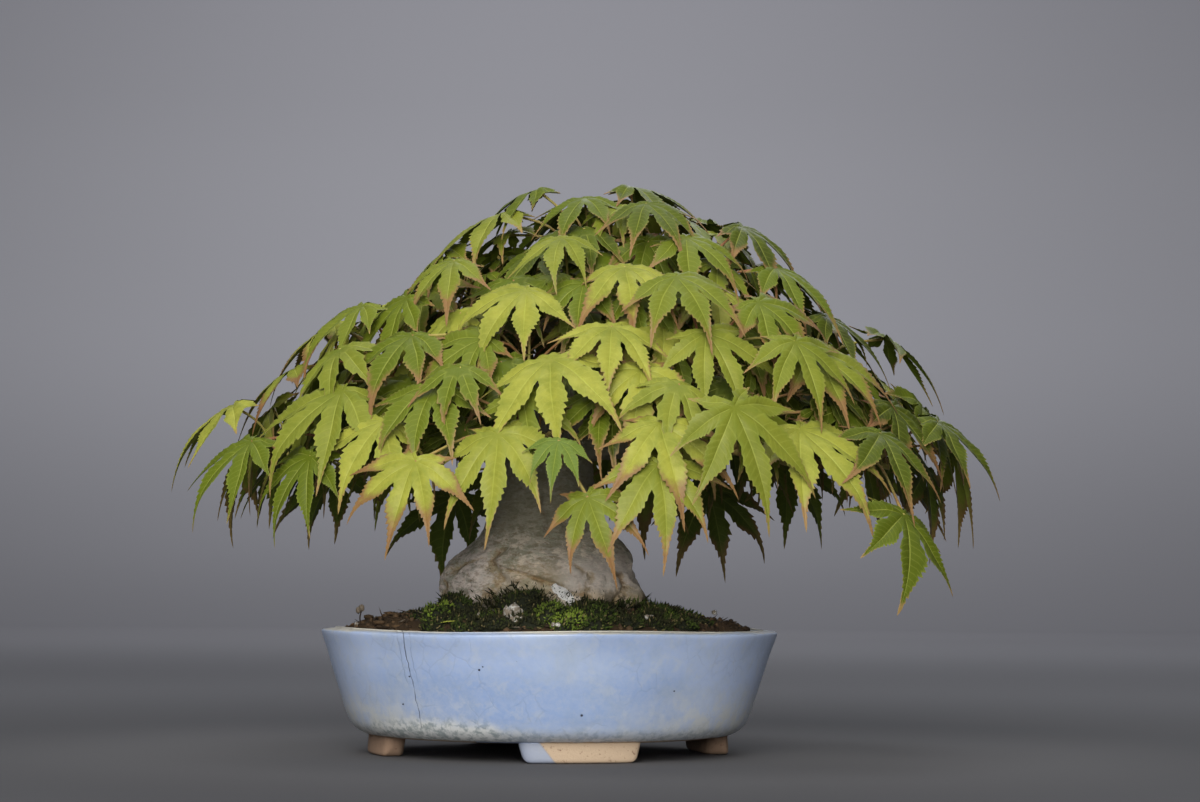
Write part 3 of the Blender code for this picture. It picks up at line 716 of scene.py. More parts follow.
@dataclass(frozen=True)
class GlazeFinish:
    """Powder-blue glaze, thin and cream at the rim, crackled white along its lower edge.

    Pinholes: X, Z and radius.
    """

    blue: Colour = (0.325, 0.432, 0.670)
    pale: Colour = (0.405, 0.500, 0.690)
    deep: Colour = (0.225, 0.330, 0.570)
    worn_and_lit: Colour = (0.470, 0.575, 0.810)
    moss: Colour = (0.300, 0.340, 0.335)
    haze: Colour = (0.580, 0.585, 0.545)
    cream: Colour = (0.58, 0.56, 0.49)
    white: Colour = (0.66, 0.67, 0.65)
    clay: Colour = (0.50, 0.375, 0.255)
    burnt: Colour = (0.17, 0.085, 0.05)
    crack: Colour = (0.045, 0.05, 0.075)
    dusty: Colour = (0.235, 0.255, 0.310)
    middle: tuple[float, float, float] = (-0.010, 0.0, 0.0)
    rim_height: float = 0.0405
    clay_height: float = 0.0068
    pinholes: Table = (
        (-0.0523, 0.0265, 0.00035), (-0.0301, 0.0290, 0.00045), (-0.0290, 0.0300, 0.00030),
        (-0.0545, 0.0177, 0.00035), (0.0014, 0.0152, 0.00050), (0.0300, 0.0225, 0.00030),
    )

    def flaws(self, skin: Skin, across: Value, height: Value, front: Value) -> Value:
        """The dark marks in the glaze: one long crack, pinholes, fine craze lines and specks.

        Args:
            skin: The material's graph.
            across: Distance to the right of the pot's axis.
            height: Height.
            front: 1 on the front half.

        Returns:
            How much of the dark colour shows.
        """
        place = skin.place
        beside = abs(across + height * 0.22 + 0.0335 + place.noise(0.012, 3.0) * 0.0042)
        second = abs(beside - 0.0016).ramp(0.00012, 0.00004) * height.ramp(0.022, 0.027)
        broken = place.noise(0.004, 2.0).ramp(0.36, 0.50, 0.35, 1.0)
        crack = beside.ramp(0.00017, 0.00006).most(second * 0.45)
        marks = crack * broken * front * height.ramp(0.009, 0.012) * 0.75
        for x, z, radius in self.pinholes:
            off = skin.value("CombineXYZ", {"X": across - (x - self.middle[0]), "Z": height - z})
            marks = marks.most(off.length().ramp(radius, 0.5 * radius) * front)
        drift = skin.value("TexNoise", {"Vector": place, "Scale": 180.0, "Detail": 2.0}, "Color")
        cells = {"Vector": place.vector("ADD", drift.scaled(0.0035)), "Scale": 150.0}
        lines = skin.value("TexVoronoi", cells, "Distance", feature="DISTANCE_TO_EDGE")
        web = lines.ramp(0.045, 0.008) * 0.085 * place.noise(0.013, 3.0).ramp(0.46, 0.60, 0.15, 1.0)
        specks = {"Place": place, "Size": 0.0065, "Radius": 0.045, "Share": 0.30}
        flecks = skin.value("Group", specks, node_tree=skin.effects.specks)
        return marks.most(web).most(flecks * 0.45)

    def material(self, effects: Effects) -> Material:
        """Builds the material, glazed above the bare clay of the underside and feet.

        Args:
            effects: The shared effects.

        Returns:
            The material.
        """
        skin = Skin("blue_glaze", effects)
        place, foot_top = skin.place, self.clay_height
        shift = place.vector("SUBTRACT", self.middle)
        across, deep, height = (shift.axis(axis) for axis in "XYZ")
        aside, strong = abs(across), abs(across + 0.034)
        spots = skin.mottle(0.012, 0.40, 0.70)
        belly = height.ramp(0.032, 0.021) * height.ramp(0.009, 0.015) * across.ramp(0.052, 0.034)
        # Painted light: the upper wall, away from its middle, is painted a paler blue.
        lip = abs(across - 0.012).ramp(0.008, 0.030) * height.ramp(0.025, 0.034)
        cloudy = place.noise(0.006, 5.0, 0.7).ramp(0.38, 0.60, 0.35, 1.0)
        # Grey haze in the glaze at the lower corners, laid on strongly as painted light against the shade
        # of the rounded corners.
        corner = aside.ramp(0.012, 0.056) * height.ramp(0.027, 0.011) * cloudy
        # The chalky band along the lower edge, with a ragged upper edge, strongest to the left. Part of
        # its whiteness is painted light against the shade under the rounded lower edge.
        lower = height - place.noise(0.007, 6.0, 0.72) * 0.0080 - strong.ramp(0.030, 0.012, 0.0, 0.0030)
        band = lower.ramp(0.0082, 0.0032) * strong.ramp(0.034, 0.014, 0.62, 0.95)
        band = band * height.ramp(foot_top - 0.0004, foot_top)
        chalk = skin.layers(self.white, (self.moss, skin.mottle(0.0022, 0.42, 0.62)))
        thin = height + place.noise(0.009, 3.0) * 0.0016
        marks = self.flaws(skin, across, height, deep.ramp(0.0, -0.01))
        # Bare clay, save where the left end of the front foot was dipped.
        end = across + height * 0.8
        dipped = end.ramp(0.0040, 0.0030) * deep.ramp(-0.050, -0.052) * aside.ramp(0.022, 0.021)
        on_foot = height.ramp(foot_top, foot_top - 0.001)
        bare = (height + place.noise(0.004) * 0.0008).ramp(foot_top + 0.0006, foot_top)
        bare = bare - bare * dipped
        grit = place.noise(0.0012, 5.0, 0.7)
        # Burnt red-brown clay on the side feet, deepened further as painted shade.
        side_feet_burnt_and_shaded = aside.ramp(0.035, 0.050)
        clay = skin.layers(self.clay, (self.burnt, side_feet_burnt_and_shaded, 0.68), (self.burnt, grit.ramp(0.42, 0.30)))
        colour = skin.layers(
            self.blue,
            (self.pale, skin.mottle(0.045, 0.38, 0.64)),
            (self.deep, belly, 0.62),
            # Painted light: the paler blue on the upper wall and on both ends of the pot stands in for
            # light.
            (self.worn_and_lit, lip, 0.30),
            (self.worn_and_lit, abs(across + 0.004).ramp(0.040, 0.066), 0.85),
            (self.moss, spots, 0.24),
            (self.haze, skin.mottle(0.0045, 0.50, 0.66), 0.20),
            (self.haze, corner, 0.85),
            (self.white, place.noise(0.0018, 3.0, 0.7).ramp(0.30, 0.70), 0.12),
            (chalk, band),
            (self.cream, thin.ramp(self.rim_height + 0.0002, self.rim_height + 0.0010)),
            (self.crack, marks),
            (self.dusty, on_foot, 0.85),
            (clay, bare),
        )
        gloss = band.most(spots).most(on_foot).ramp(0.0, 1.0, 0.32, 0.52)
        rough = skin.value("Mix", {0: bare, 2: gloss, 3: 0.88}, data_type="FLOAT")
        relief = grit * bare - place.noise(0.006, 3.0) * 0.5 - marks
        return skin.finish(colour, rough, relief, 0.00035, 0.7)


@dataclass(frozen=True)
class SoilFinish:
    """Damp dark soil: each crumb has its own brown."""

    dark: Colour = (0.030, 0.019, 0.010)
    brown: Colour = (0.130, 0.078, 0.038)
    grey: Colour = (0.24, 0.20, 0.15)
    white: Colour = (0.58, 0.57, 0.53)
    scrap: Colour = (0.42, 0.44, 0.07)

    def material(self, effects: Effects) -> Material:
        """Builds the material, which reads the mark "kind": 0 for soil, 1 for grit, 2 for a scrap.

        Args:
            effects: The shared effects.

        Returns:
            The material.
        """
        skin = Skin("damp_soil", effects)
        place, tone, kind = skin.place, skin.mark("tone"), skin.mark("kind")
        damp = skin.mottle(0.012, 0.35, 0.65)
        crust = skin.layers(self.grey, (self.white, place.noise(0.0014, 4.0, 0.7).ramp(0.46, 0.62)))
        colour = skin.layers(
            self.dark,
            (self.brown, tone.ramp(0.25, 0.80)),
            (self.grey, tone.ramp(0.88, 1.0)),
            (self.dark, damp, 0.5),
            (crust, kind.ramp(0.4, 0.6)),
            (self.scrap, kind.ramp(1.4, 1.6)),
        )
        relief = place.noise(0.0007, 4.0, 0.7)
        return skin.finish(colour, damp.ramp(0.0, 1.0, 0.92, 0.72), relief, 0.0004, 0.8, 0.25)


@dataclass(frozen=True)
class MossFinish:
    """Cushion moss: near black at the foot of a shoot, from brown to bright green at its tip."""

    dark: Colour = (0.012, 0.014, 0.006)
    olive: Colour = (0.032, 0.033, 0.011)
    green: Colour = (0.054, 0.086, 0.011)
    bright: Colour = (0.230, 0.320, 0.036)
    dry: Colour = (0.24, 0.19, 0.08)

    def material(self, effects: Effects) -> Material:
        """Builds the material, which reads how far along its shoot a point is, and its brightness.

        Args:
            effects: The shared effects.

        Returns:
            The material.
        """
        skin = Skin("cushion_moss", effects)
        place = skin.place
        bright = skin.mark("lit") + place.noise(0.007, 3.0, 0.6).ramp(0.30, 0.70, -0.30, 0.30)
        tip = skin.layers(
            self.olive,
            (self.green, bright.ramp(0.05, 0.45)),
            (self.bright, bright.ramp(0.45, 1.0)),
            (self.dry, skin.mark("tone").ramp(0.86, 1.0)),
        )
        colour = skin.layers(self.dark, (tip, skin.mark("along").ramp(0.05, 0.85)))
        relief = place.noise(0.0006, 3.0)
        return skin.finish(colour, bright.ramp(0.0, 1.0, 0.85, 0.70), relief, 0.0003, 0.6, 0.25)


@dataclass(frozen=True)
class ScreenFinish:
    """Dull black plastic with fine ribs."""

    black: Colour = (0.022, 0.022, 0.024)
    worn_and_lit: Colour = (0.055, 0.052, 0.048)

    def material(self, effects: Effects) -> Material:
        """Builds the material.

        Args:
            effects: The shared effects.

        Returns:
            The material.
        """
        skin = Skin("screen_plastic", effects)
        worn_and_lit = skin.mottle(0.006, 0.45, 0.60)
        colour = skin.layers(self.black, (self.worn_and_lit, worn_and_lit))
        ribs = {"Vector": skin.place, "Scale": 220.0}
        ribs = skin.value("TexWave", ribs, "Fac", bands_direction="DIAGONAL")
        return skin.finish(colour, worn_and_lit.ramp(0.0, 1.0, 0.48, 0.66), ribs, 0.00012, 0.6)


@dataclass(frozen=True)
class Crown:
    """The dome that the leaf joints lie on, and the eye that the front leaves are set out from."""

    middle: float = 0.0134
    left: float = 0.152
    right: float = 0.127
    depth: float = 0.110
    foot: float = 0.075
    top: float = 0.188
    plan_power: float = 1.5
    rise_power: float = 1.25
    eye_distance: float = 0.940
    eye_height: float = 0.0555
    slope_step: float = 0.001
    sight_steps: int = 120

    def level(self, point: Vector) -> float:
        """How far out a point is: plan^plan_power + rise^rise_power - 1.

        Args:
            point: The point.

        Returns:
            0 on the crown's surface, and less inside.
        """
        reach = self.left if point.x < self.middle else self.right
        plan = math.hypot((point.x - self.middle) / reach, point.y / self.depth)
        rise = max(point.z - self.foot, 0.0) / (self.top - self.foot)
        return plan**self.plan_power + rise**self.rise_power - 1.0

    def normal(self, point: Vector) -> Vector:
        """The outward direction, from the level's slopes along the three axes.

        Args:
            point: A point on the surface.

        Returns:
            A vector of length 1.
        """
        slopes = []
        for axis in range(3):
            there, back = point.copy(), point.copy()
            there[axis] += self.slope_step
            back[axis] -= self.slope_step
            slopes.append(self.level(there) - self.level(back))
        return Vector(slopes).normalized()

    def point(self, bearing: float, plan: float) -> Vector:
        """A point of the surface.

        Args:
            bearing: Radians from +X.
            plan: Share of the crown's reach.

        Returns:
            The point.
        """
        across = math.cos(bearing)
        reach = self.left if across < 0.0 else self.right
        rise = max(1.0 - plan**self.plan_power, 0.0) ** (1.0 / self.rise_power)
        height = self.foot + (self.top - self.foot) * rise
        y = self.depth * plan * math.sin(bearing)
        return Vector((self.middle + reach * plan * across, y, height))

    def seen(self, x: float, z: float, side: Side) -> Vector:
        """The surface's point on the line of sight through (x, z) on the plane of the trunk.

        Args:
            x: Place to the right.
            z: Height.
            side: The near or the far side of the crown.

        Returns:
            The point.
        """
        eye = Vector((0.0, -self.eye_distance, self.eye_height))
        aim = Vector((x, 0.0, z)) - eye
        levels = []
        for step in range(self.sight_steps + 1):
            y = self.depth * step / self.sight_steps * side.value
            point = eye + aim * ((y + self.eye_distance) / self.eye_distance)
            levels.append((abs(self.level(point)), step, point))
        return min(levels)[2]


@dataclass
class Leaf:
    """One leaf: where its stalk meets the blade, its directions, its size, its stalk's foot."""

    joint: Vector
    ahead: Vector
    side: Vector
    up: Vector
    length: float
    foot: Vector
    tone: float = 0.5
    small: bool = False

    sag = 0.24

    def point(self, along: float, across: float, lift: float = 0.0) -> Vector:
        """A point of the blade, which sags with the square of the distance from the joint.

        Args:
            along: Share of the length towards the middle lobe's tip.
            across: Share of the length to the side.
            lift: Height over the sagging blade, in metres.

        Returns:
            The point.
        """
        sag = self.sag * (along * along + across * across) * self.length
        flat = self.ahead * (along * self.length) + self.side * (across * self.length)
        return self.joint + flat + self.up * (lift - sag)

    def laid(self, plan: np.ndarray, lift: np.ndarray) -> np.ndarray:
        """Many points of the blade: joint + along, across and up, less the sag.

        Args:
            plan: Along and across, as shares of the blade's length.
            lift: Height over the sagging surface, as shares of the length.

        Returns:
            The points in metres.
        """
        axes = np.array([self.ahead, self.side, self.up])
        height = lift - self.sag * (plan**2).sum(axis=1)
        return np.array(self.joint) + np.column_stack((plan, height)) @ axes * self.length


@dataclass(frozen=True)
class Wish:
    """A leaf that is wanted: a spot on the crown, the middle lobe's heading, size and tone."""

    spot: Vector
    heading: Vector
    length: float
    tone: float = 0.5


@dataclass
class Spray:
    """A twig and its leaves. The twig's path goes on from the end of a branch."""

    path: list[Vector]
    leaves: list[Leaf] = field(default_factory=list)

    def station(self, share: float) -> Vector:
        """A point on the twig.

        Args:
            share: How far along its path.

        Returns:
            The point.
        """
        place = share * (len(self.path) - 1)
        first = min(int(place), len(self.path) - 2)
        return self.path[first].lerp(self.path[first + 1], place - first)


@dataclass
class Obstacle:
    """What a new leaf must stay clear of. The short tree leaves out the foot of the stalk."""

    owner: int
    middle: Vector
    reach: float
    whole: BVHTree
    short: BVHTree

    @classmethod
    def of(cls, owner: int, whole: Shape, short: Shape) -> "Obstacle":
        """Makes an obstacle.

        Args:
            owner: The spray's number, or -1.
            whole: Its shape.
            short: Its shape without the foot of its stalk.

        Returns:
            The obstacle.
        """
        points = whole[0]
        low = Vector([min(p[axis] for p in points) for axis in range(3)])
        high = Vector([max(p[axis] for p in points) for axis in range(3)])
        trees = [BVHTree.FromPolygons(*shape) for shape in (whole, short)]
        return cls(owner, low.lerp(high, 0.5), (high - low).length / 2, *trees)

    def meets(self, other: "Obstacle") -> bool:
        """Tests another obstacle.

        Args:
            other: The other one.

        Returns:
            Whether they cross, apart from the feet of stalks on one twig.
        """
        if (other.middle - self.middle).length > other.reach + self.reach:
            return False
        if other.owner == self.owner:
            return bool(self.short.overlap(other.short))
        return bool(self.whole.overlap(other.whole))


def polar(bearing: float, distance: float) -> tuple[float, float]:
    """Flat coordinates along and across a blade, from degrees and a distance."""
    angle = math.radians(bearing)
    return distance * math.cos(angle), distance * math.sin(angle)


@dataclass(frozen=True)
class LeafPlan:
    """A leaf's outline, as shares of its middle lobe's length. Lobes: bearing, length, half width."""

    length: float = 0.034
    lobes: Table = (
        (-88.0, 0.64, 0.112), (-44.0, 0.88, 0.135), (0.0, 1.0, 0.150), (44.0, 0.88, 0.135),
        (88.0, 0.64, 0.112),
    )
    widest: float = 0.48
    notches: tuple[float, ...] = (0.17, 0.25, 0.28, 0.28, 0.25, 0.17)
    outer_notch: float = 23.0
    basal_bearing: float = 134.0
    basal_length: float = 0.36
    base_notch: float = 0.05
    thickness: float = 0.0017
    stalk: float = 0.0009
    spread: float = 1.03

    def outline(self) -> tuple[list, list, list, list]:
        """The flat outline, which the solid leaf shares.

        Returns:
            Its points, the rib points, the order of both round the joint, and where each lobe starts.
        """
        outline = [polar(180.0, self.base_notch), polar(-self.basal_bearing, self.basal_length)]
        ribs = []
        spokes = [("edge", 0), ("edge", 1)]
        lobe_edges = []
        for index, (bearing, length, half_width) in enumerate(self.lobes):
            before = self.lobes[index - 1][0] if index else -self.basal_bearing
            notch = 0.5 * (bearing + before) if index else bearing - self.outer_notch
            spokes.append(("edge", len(outline)))
            lobe_edges.append(len(outline))
            outline.append(polar(notch, self.notches[index]))
            along = self.widest * length
            spread = math.degrees(math.atan2(half_width, along))
            shoulder = math.hypot(along, half_width)
            outline.append(polar(bearing - spread, shoulder))
            outline.append(polar(bearing, length))
            outline.append(polar(bearing + spread, shoulder))
            spokes.append(("rib", len(ribs)))
            ribs.append(polar(bearing, along))
        spokes.append(("edge", len(outline)))
        outline.append(polar(self.lobes[-1][0] + self.outer_notch, self.notches[-1]))
        spokes.append(("edge", len(outline)))
        outline.append(polar(self.basal_bearing, self.basal_length))
        return outline, ribs, spokes, lobe_edges

    def guard(self, leaf: Leaf, kept: float = 1.0) -> Shape:
        """The blade and its three-sided stalk with the clearance round them.

        Args:
            leaf: The leaf.
            kept: The share of the stalk that counts.

        Returns:
            Points and faces of one closed shape.
        """
        outline, ribs, spokes, lobe_edges = self.outline()
        spread, thickness, radius = self.spread, self.thickness, self.stalk
        points = [leaf.point(a * spread, b * spread) for a, b in outline]
        top = len(points)
        points.append(leaf.point(0.0, 0.0, thickness * 0.6))
        points += [leaf.point(a * spread, b * spread, thickness * 0.5) for a, b in ribs]
        low = len(points)
        points += [leaf.point(a * spread, b * spread, -thickness * 0.5) for a, b in ribs]

        foot = leaf.joint.lerp(leaf.foot, kept)
        way = (foot - leaf.joint).normalized()
        ring = len(points)
        offsets = []
        for bearing in (-120.0, 0.0, 120.0):
            along, across = polar(bearing, 1.0)
            offset = leaf.ahead * along + leaf.side * across
            points.append(leaf.joint + offset * radius * 1.2 - leaf.up * thickness * 0.6)
            offsets.append((offset - way * offset.dot(way)).normalized())
        points += [foot + offset * radius for offset in offsets]

        places = {("edge", i): i for i in range(len(outline))}
        upper = {**places, **{("rib", i): top + 1 + i for i in range(len(ribs))}}
        lower = {**places, **{("rib", i): low + i for i in range(len(ribs))}}
        faces = []
        share = len(spokes) / 3.0
        for index, spoke in enumerate(spokes):
            after = spokes[(index + 1) % len(spokes)]
            faces.append((top, upper[spoke], upper[after]))
            corner = ring + int(index / share)
            faces.append((corner, lower[after], lower[spoke]))
            next_corner = ring + int((index + 1) / share) % 3
            if next_corner != corner:
                faces.append((corner, next_corner, lower[after]))
        for rib, edge in enumerate(lobe_edges):
            for a in range(edge, edge + 4):
                faces.append((a, a + 1, top + 1 + rib))
                faces.append((a + 1, a, low + rib))
        for a, b in ((ring, ring + 1), (ring + 1, ring + 2), (ring + 2, ring)):
            faces += [(a, a + 3, b + 3), (a, b + 3, b)]
        faces.append((ring + 5, ring + 4, ring + 3))
        return points, faces


def bar_shape(path: list[Vector], radii: list[float], sides: int) -> Shape:
    """A round bar with flat ends square to its path, as the solids have it.

    Args:
        path: Its middle line.
        radii: Radius at each point.
        sides: Number of sides.

    Returns:
        Points and faces.
    """
    points = []
    faces = []
    way = (path[1] - path[0]).normalized()
    across = way.orthogonal().normalized()
    for index, place in enumerate(path):
        here = (path[min(index + 1, len(path) - 1)] - path[max(index - 1, 0)]).normalized()
        across = way.rotation_difference(here) @ across
        way = here
        other = way.cross(across)
        for corner in range(sides):
            angle = TURN * corner / sides
            offset = across * math.cos(angle) + other * math.sin(angle)
            points.append(place + offset * radii[index])
    faces = [tuple(face) for face in grid_faces(len(path), sides, closed=True)]
    faces.append(tuple(range(sides)))
    faces.append(tuple(range(len(points) - sides, len(points))))
    return points, faces


def arc_point(way: tuple[Vector, Vector, Vector], share: float) -> Vector:
    """A point on the arc from a start over a bend to an end."""
    start, bend, end = way
    return start.lerp(bend, share).lerp(bend.lerp(end, share), share)


@dataclass(frozen=True)
class Trunk:
    """The trunk with its flared foot, and the limbs and branches that carry the sprays.

    Rings: height, half width, half depth, middle in X and in Y. Clefts: bearing at the lowest and
    at the highest place, these heights, half angle, depth. Swellings: bearing, height, half angle,
    half height, rise. Spray rings: share of the crown's reach, number, first bearing, height at
    which the limb leaves the trunk.
    """

    crown: Crown = Crown()
    sides: int = 18
    bare: float = 0.048
    rings: Table = (
        (0.0375, 0.0355, 0.0300, -0.0115, 0.0020), (0.0480, 0.0355, 0.0300, -0.0115, 0.0020),
        (0.0560, 0.0350, 0.0295, -0.0122, 0.0020), (0.0625, 0.0318, 0.0270, -0.0130, 0.0015),
        (0.0675, 0.0266, 0.0236, -0.0125, 0.0010), (0.0725, 0.0218, 0.0206, -0.0115, 0.0005),
        (0.0800, 0.0184, 0.0178, -0.0120, 0.0000), (0.0920, 0.0162, 0.0158, -0.0125, -0.0010),
        (0.1060, 0.0138, 0.0134, -0.0095, -0.0010), (0.1220, 0.0104, 0.0102, -0.0035, 0.0005),
        (0.1380, 0.0072, 0.0072, 0.0045, 0.0015), (0.1520, 0.0046, 0.0046, 0.0105, 0.0005),
    )
    ridges: int = 7
    relief: float = 0.045
    root_rise: float = 0.040
    root_lean: float = 60.0
    slow_relief: float = 0.028
    twist: float = 75.0
    spray_rings: Table = (
        (0.15, 2, 40.0, 0.1500), (0.40, 6, 10.0, 0.1300), (0.65, 8, 25.0, 0.1120),
        (0.85, 10, 5.0, 0.0950),
    )
    hub_depth: float = 0.022
    limb_end: float = 0.30
    branch_end: float = 0.60
    limb_arch: float = 0.012
    limb_radii: tuple[float, ...] = (0.0042, 0.0034, 0.0025, 0.0020, 0.0015)
    twig_radius: float = 0.0012
    fine_rings: Table = (
        (0.0375, 0.0350, 0.0296, -0.0115, 0.0020), (0.0480, 0.0350, 0.0296, -0.0115, 0.0020),
        (0.0525, 0.0346, 0.0292, -0.0122, 0.0020), (0.0572, 0.0326, 0.0282, -0.0130, 0.0020),
        (0.0605, 0.0311, 0.0270, -0.0130, 0.0018), (0.0638, 0.0288, 0.0254, -0.0126, 0.0015),
        (0.0684, 0.0241, 0.0222, -0.0118, 0.0010), (0.0728, 0.0210, 0.0202, -0.0118, 0.0005),
        (0.0780, 0.0186, 0.0184, -0.0126, 0.0000), (0.0840, 0.0178, 0.0173, -0.0130, -0.0005),
        *rings[7:],
    )
    clefts: Table = (
        (-116.0, -122.0, 0.046, 0.068, 5.0, 0.0028), (-72.0, -112.0, 0.0525, 0.0605, 5.0, 0.0022),
        (-160.0, -128.0, 0.0600, 0.0640, 8.0, 0.0016), (-60.0, -66.0, 0.046, 0.062, 4.0, 0.0014),
        (-40.0, -34.0, 0.046, 0.060, 4.5, 0.0020), (-20.0, -16.0, 0.046, 0.058, 4.0, 0.0016),
        (-166.0, -170.0, 0.046, 0.057, 5.0, 0.0012), (30.0, 30.0, 0.046, 0.064, 7.0, 0.0025),
        (95.0, 95.0, 0.046, 0.066, 7.0, 0.0028), (150.0, 150.0, 0.046, 0.062, 6.0, 0.0022),
        (-88.0, -84.0, 0.0740, 0.0860, 4.0, 0.0014), (-60.0, -70.0, 0.0720, 0.0800, 4.0, 0.0010),
    )
    swellings: Table = (
        (-5.0, 0.0665, 38.0, 0.0055, 0.0030), (182.0, 0.0505, 40.0, 0.0060, -0.0030),
        (-150.0, 0.0570, 20.0, 0.0050, 0.0016), (-95.0, 0.0640, 22.0, 0.0040, 0.0012),
        (-92.0, 0.0500, 16.0, 0.0050, -0.0020), (-50.0, 0.0590, 16.0, 0.0050, 0.0014),
    )
    cleft_sway: tuple[float, float] = (0.08, 520.0)
    lump_rise: float = 0.0008
    fold_depth: float = 0.0005
    grain_rise: float = 0.00013
    rough_from: tuple[float, float] = (0.042, 0.050)
    fine_sides: int = 200
    fine_levels: int = 170

    def middle(self, height: float) -> Vector:
        """The middle of the trunk.

        Args:
            height: Where along it.

        Returns:
            The point.
        """
        for below, above in zip(self.rings, self.rings[1:]):
            if height <= above[0]:
                share = (height - below[0]) / (above[0] - below[0])
                x = below[3] + share * (above[3] - below[3])
                y = below[4] + share * (above[4] - below[4])
                return Vector((x, y, height))
        return Vector((self.rings[-1][3], self.rings[-1][4], height))

    def outline(self, ring: tuple[float, ...]) -> list[Vector]:
        """One level of the solid trunk: an oval with root ridges that fade upwards.

        Args:
            ring: A row of the rings.

        Returns:
            Its corners.
        """
        height, half_width, half_depth, x, y = ring
        level = max(height, self.bare)
        fade = max(0.0, 1.0 - (level - self.bare) / self.root_rise)
        points = []
        for corner in range(self.sides):
            angle = TURN * corner / self.sides
            ridge = self.relief * fade * math.cos(self.ridges * angle + self.root_lean * level)
            ridge += self.slow_relief * math.cos(3.0 * angle + self.twist * level)
            across = (half_width * (1.0 + ridge)) * math.cos(angle)
            deep = (half_depth * (1.0 + ridge)) * math.sin(angle)
            points.append(Vector((x + across, y + deep, height)))
        return points

    def limbs(self) -> tuple[list[tuple], list[Spray]]:
        """Limbs that fork into two branches each, and go on as the twigs of the sprays.

        Returns:
            Paths with their radii and sides, and the sprays.
        """
        bars = []
        sprays = []
        for reach, number, first, height in self.spray_rings:
            start = self.middle(height)
            ways = []
            for index in range(number):
                bearing = math.radians(first + 360.0 * index / number)
                surface = self.crown.point(bearing, reach)
                hub = surface - self.crown.normal(surface) * self.hub_depth
                bend = start.lerp(hub, 0.5) + Vector((0.0, 0.0, self.limb_arch))
                ways.append((start, bend, hub))
            for pair in range(0, number, 2):
                couple = ways[pair : pair + 2]
                ends = [arc_point(way, self.limb_end) for way in couple]
                fork = ends[0].lerp(ends[1], 0.5)
                limb = [start, start.lerp(fork, 0.5) + Vector((0.0, 0.0, 0.15 * self.limb_arch)), fork]
                for index, way in enumerate(couple):
                    middle = fork.lerp(arc_point(way, 0.5 * (self.limb_end + self.branch_end)), 0.85)
                    end = arc_point(way, self.branch_end)
                    if index == 0:
                        bars.append(([*limb, middle, end], self.limb_radii, 5))
                    else:
                        bars.append(([fork, middle, end], self.limb_radii[2:], 4))
                    past = (end - middle).normalized()
                    bend = end + past * (arc_point(way, 0.75) - end).length
                    sprays.append(Spray([end + past * GAP, bend, arc_point(way, 0.88), way[2]]))
        return bars, sprays

    def solid(self, bars: list[tuple]) -> Shape:
        """The plain trunk and limbs, which the leaves keep clear of.

        Args:
            bars: Limbs and branches.

        Returns:
            Points and faces.
        """
        stem = [point for ring in self.rings for point in self.outline(ring)]
        faces = [tuple(face) for face in grid_faces(len(self.rings), self.sides, closed=True)]
        faces.append(tuple(range(self.sides)))
        faces.append(tuple(range(len(stem) - self.sides, len(stem))))
        points = list(stem)
        for bar in bars:
            more, sheets = bar_shape(*bar)
            faces += [tuple(len(points) + corner for corner in face) for face in sheets]
            points += more
        return points, faces

    def twig(self, spray: Spray) -> Shape:
        """The plain twig of a spray."""
        return bar_shape(spray.path, [self.twig_radius * taper for taper in (1.15, 1.0, 0.9, 0.8)], 4)

    def carved(self, angle: np.ndarray, height: np.ndarray, half_width: np.ndarray) -> list[np.ndarray]:
        """The change of the trunk's radius, as a share of it: slow twist, clefts, swellings, ridges.

        A cleft is exp(-(off / half angle)^2) of the bearing, wanders sideways and fades at its ends.
        A swelling is such a curve of the bearing times one of the height.

        Args:
            angle: Bearing of each column.
            height: Height of each row.
            half_width: The trunk's half width at each row.

        Returns:
            The change at each point, and how much of a cleft it lies in.
        """
        ridge = self.slow_relief * 0.8 * np.cos(3.0 * angle + self.twist * height)
        seam = 0.0 * angle * height
        sway, rate = self.cleft_sway
        for low_bearing, high_bearing, low, high, half_angle, depth in self.clefts:
            share = np.clip((height - low) / (high - low), 0.0, 1.0)
            middle = np.radians(low_bearing + share * (high_bearing - low_bearing))
            off = np.angle(np.exp(1j * (angle - middle - sway * np.sin(height * rate + low_bearing))))
            ends = step_up(height, high + 0.0010, high - 0.0020) * step_up(height, low - 0.003, low)
            bell = np.exp(-((off / math.radians(half_angle)) ** 2)) * ends
            ridge = ridge - depth / half_width * bell
            seam = np.maximum(seam, bell)
        for bearing, level, half_angle, half_height, rise in self.swellings:
            off = np.angle(np.exp(1j * (angle - math.radians(bearing)))) / math.radians(half_angle)
            ridge = ridge + rise / half_width * np.exp(-(off**2) - ((height - level) / half_height) ** 2)
        fade = np.clip(1.0 - (height - self.bare) / self.root_rise, 0.0, 1.0)
        root = np.cos(self.ridges * angle + self.root_lean * height)
        return [ridge + 0.5 * self.relief * fade * root, seam]

    def roughness(self, points: np.ndarray, half_width: np.ndarray) -> np.ndarray:
        """How far the bark stands out: lumps and folds as the trunk is thick, and grain.

        Args:
            points: Points of the trunk, one in a row.
            half_width: The trunk's half width at each.

        Returns:
            The distance outwards, which fades out at the foot.
        """
        girth = half_width / self.rings[0][1]
        lumps = self.lump_rise * Waves(11, 0.020, 3).at(points) * girth
        folds = Waves(12, 0.016, 2).at(points * np.array((1.0, 1.0, 2.4)))
        folds = -self.fold_depth * np.exp(-((folds / 0.16) ** 2)) * girth
        grain = self.grain_rise * Waves(13, 0.0030, 2).at(points * np.array((1.0, 1.0, 1.6)))
        return (lumps + folds + grain) * step_up(points[:, 2], *self.rough_from)

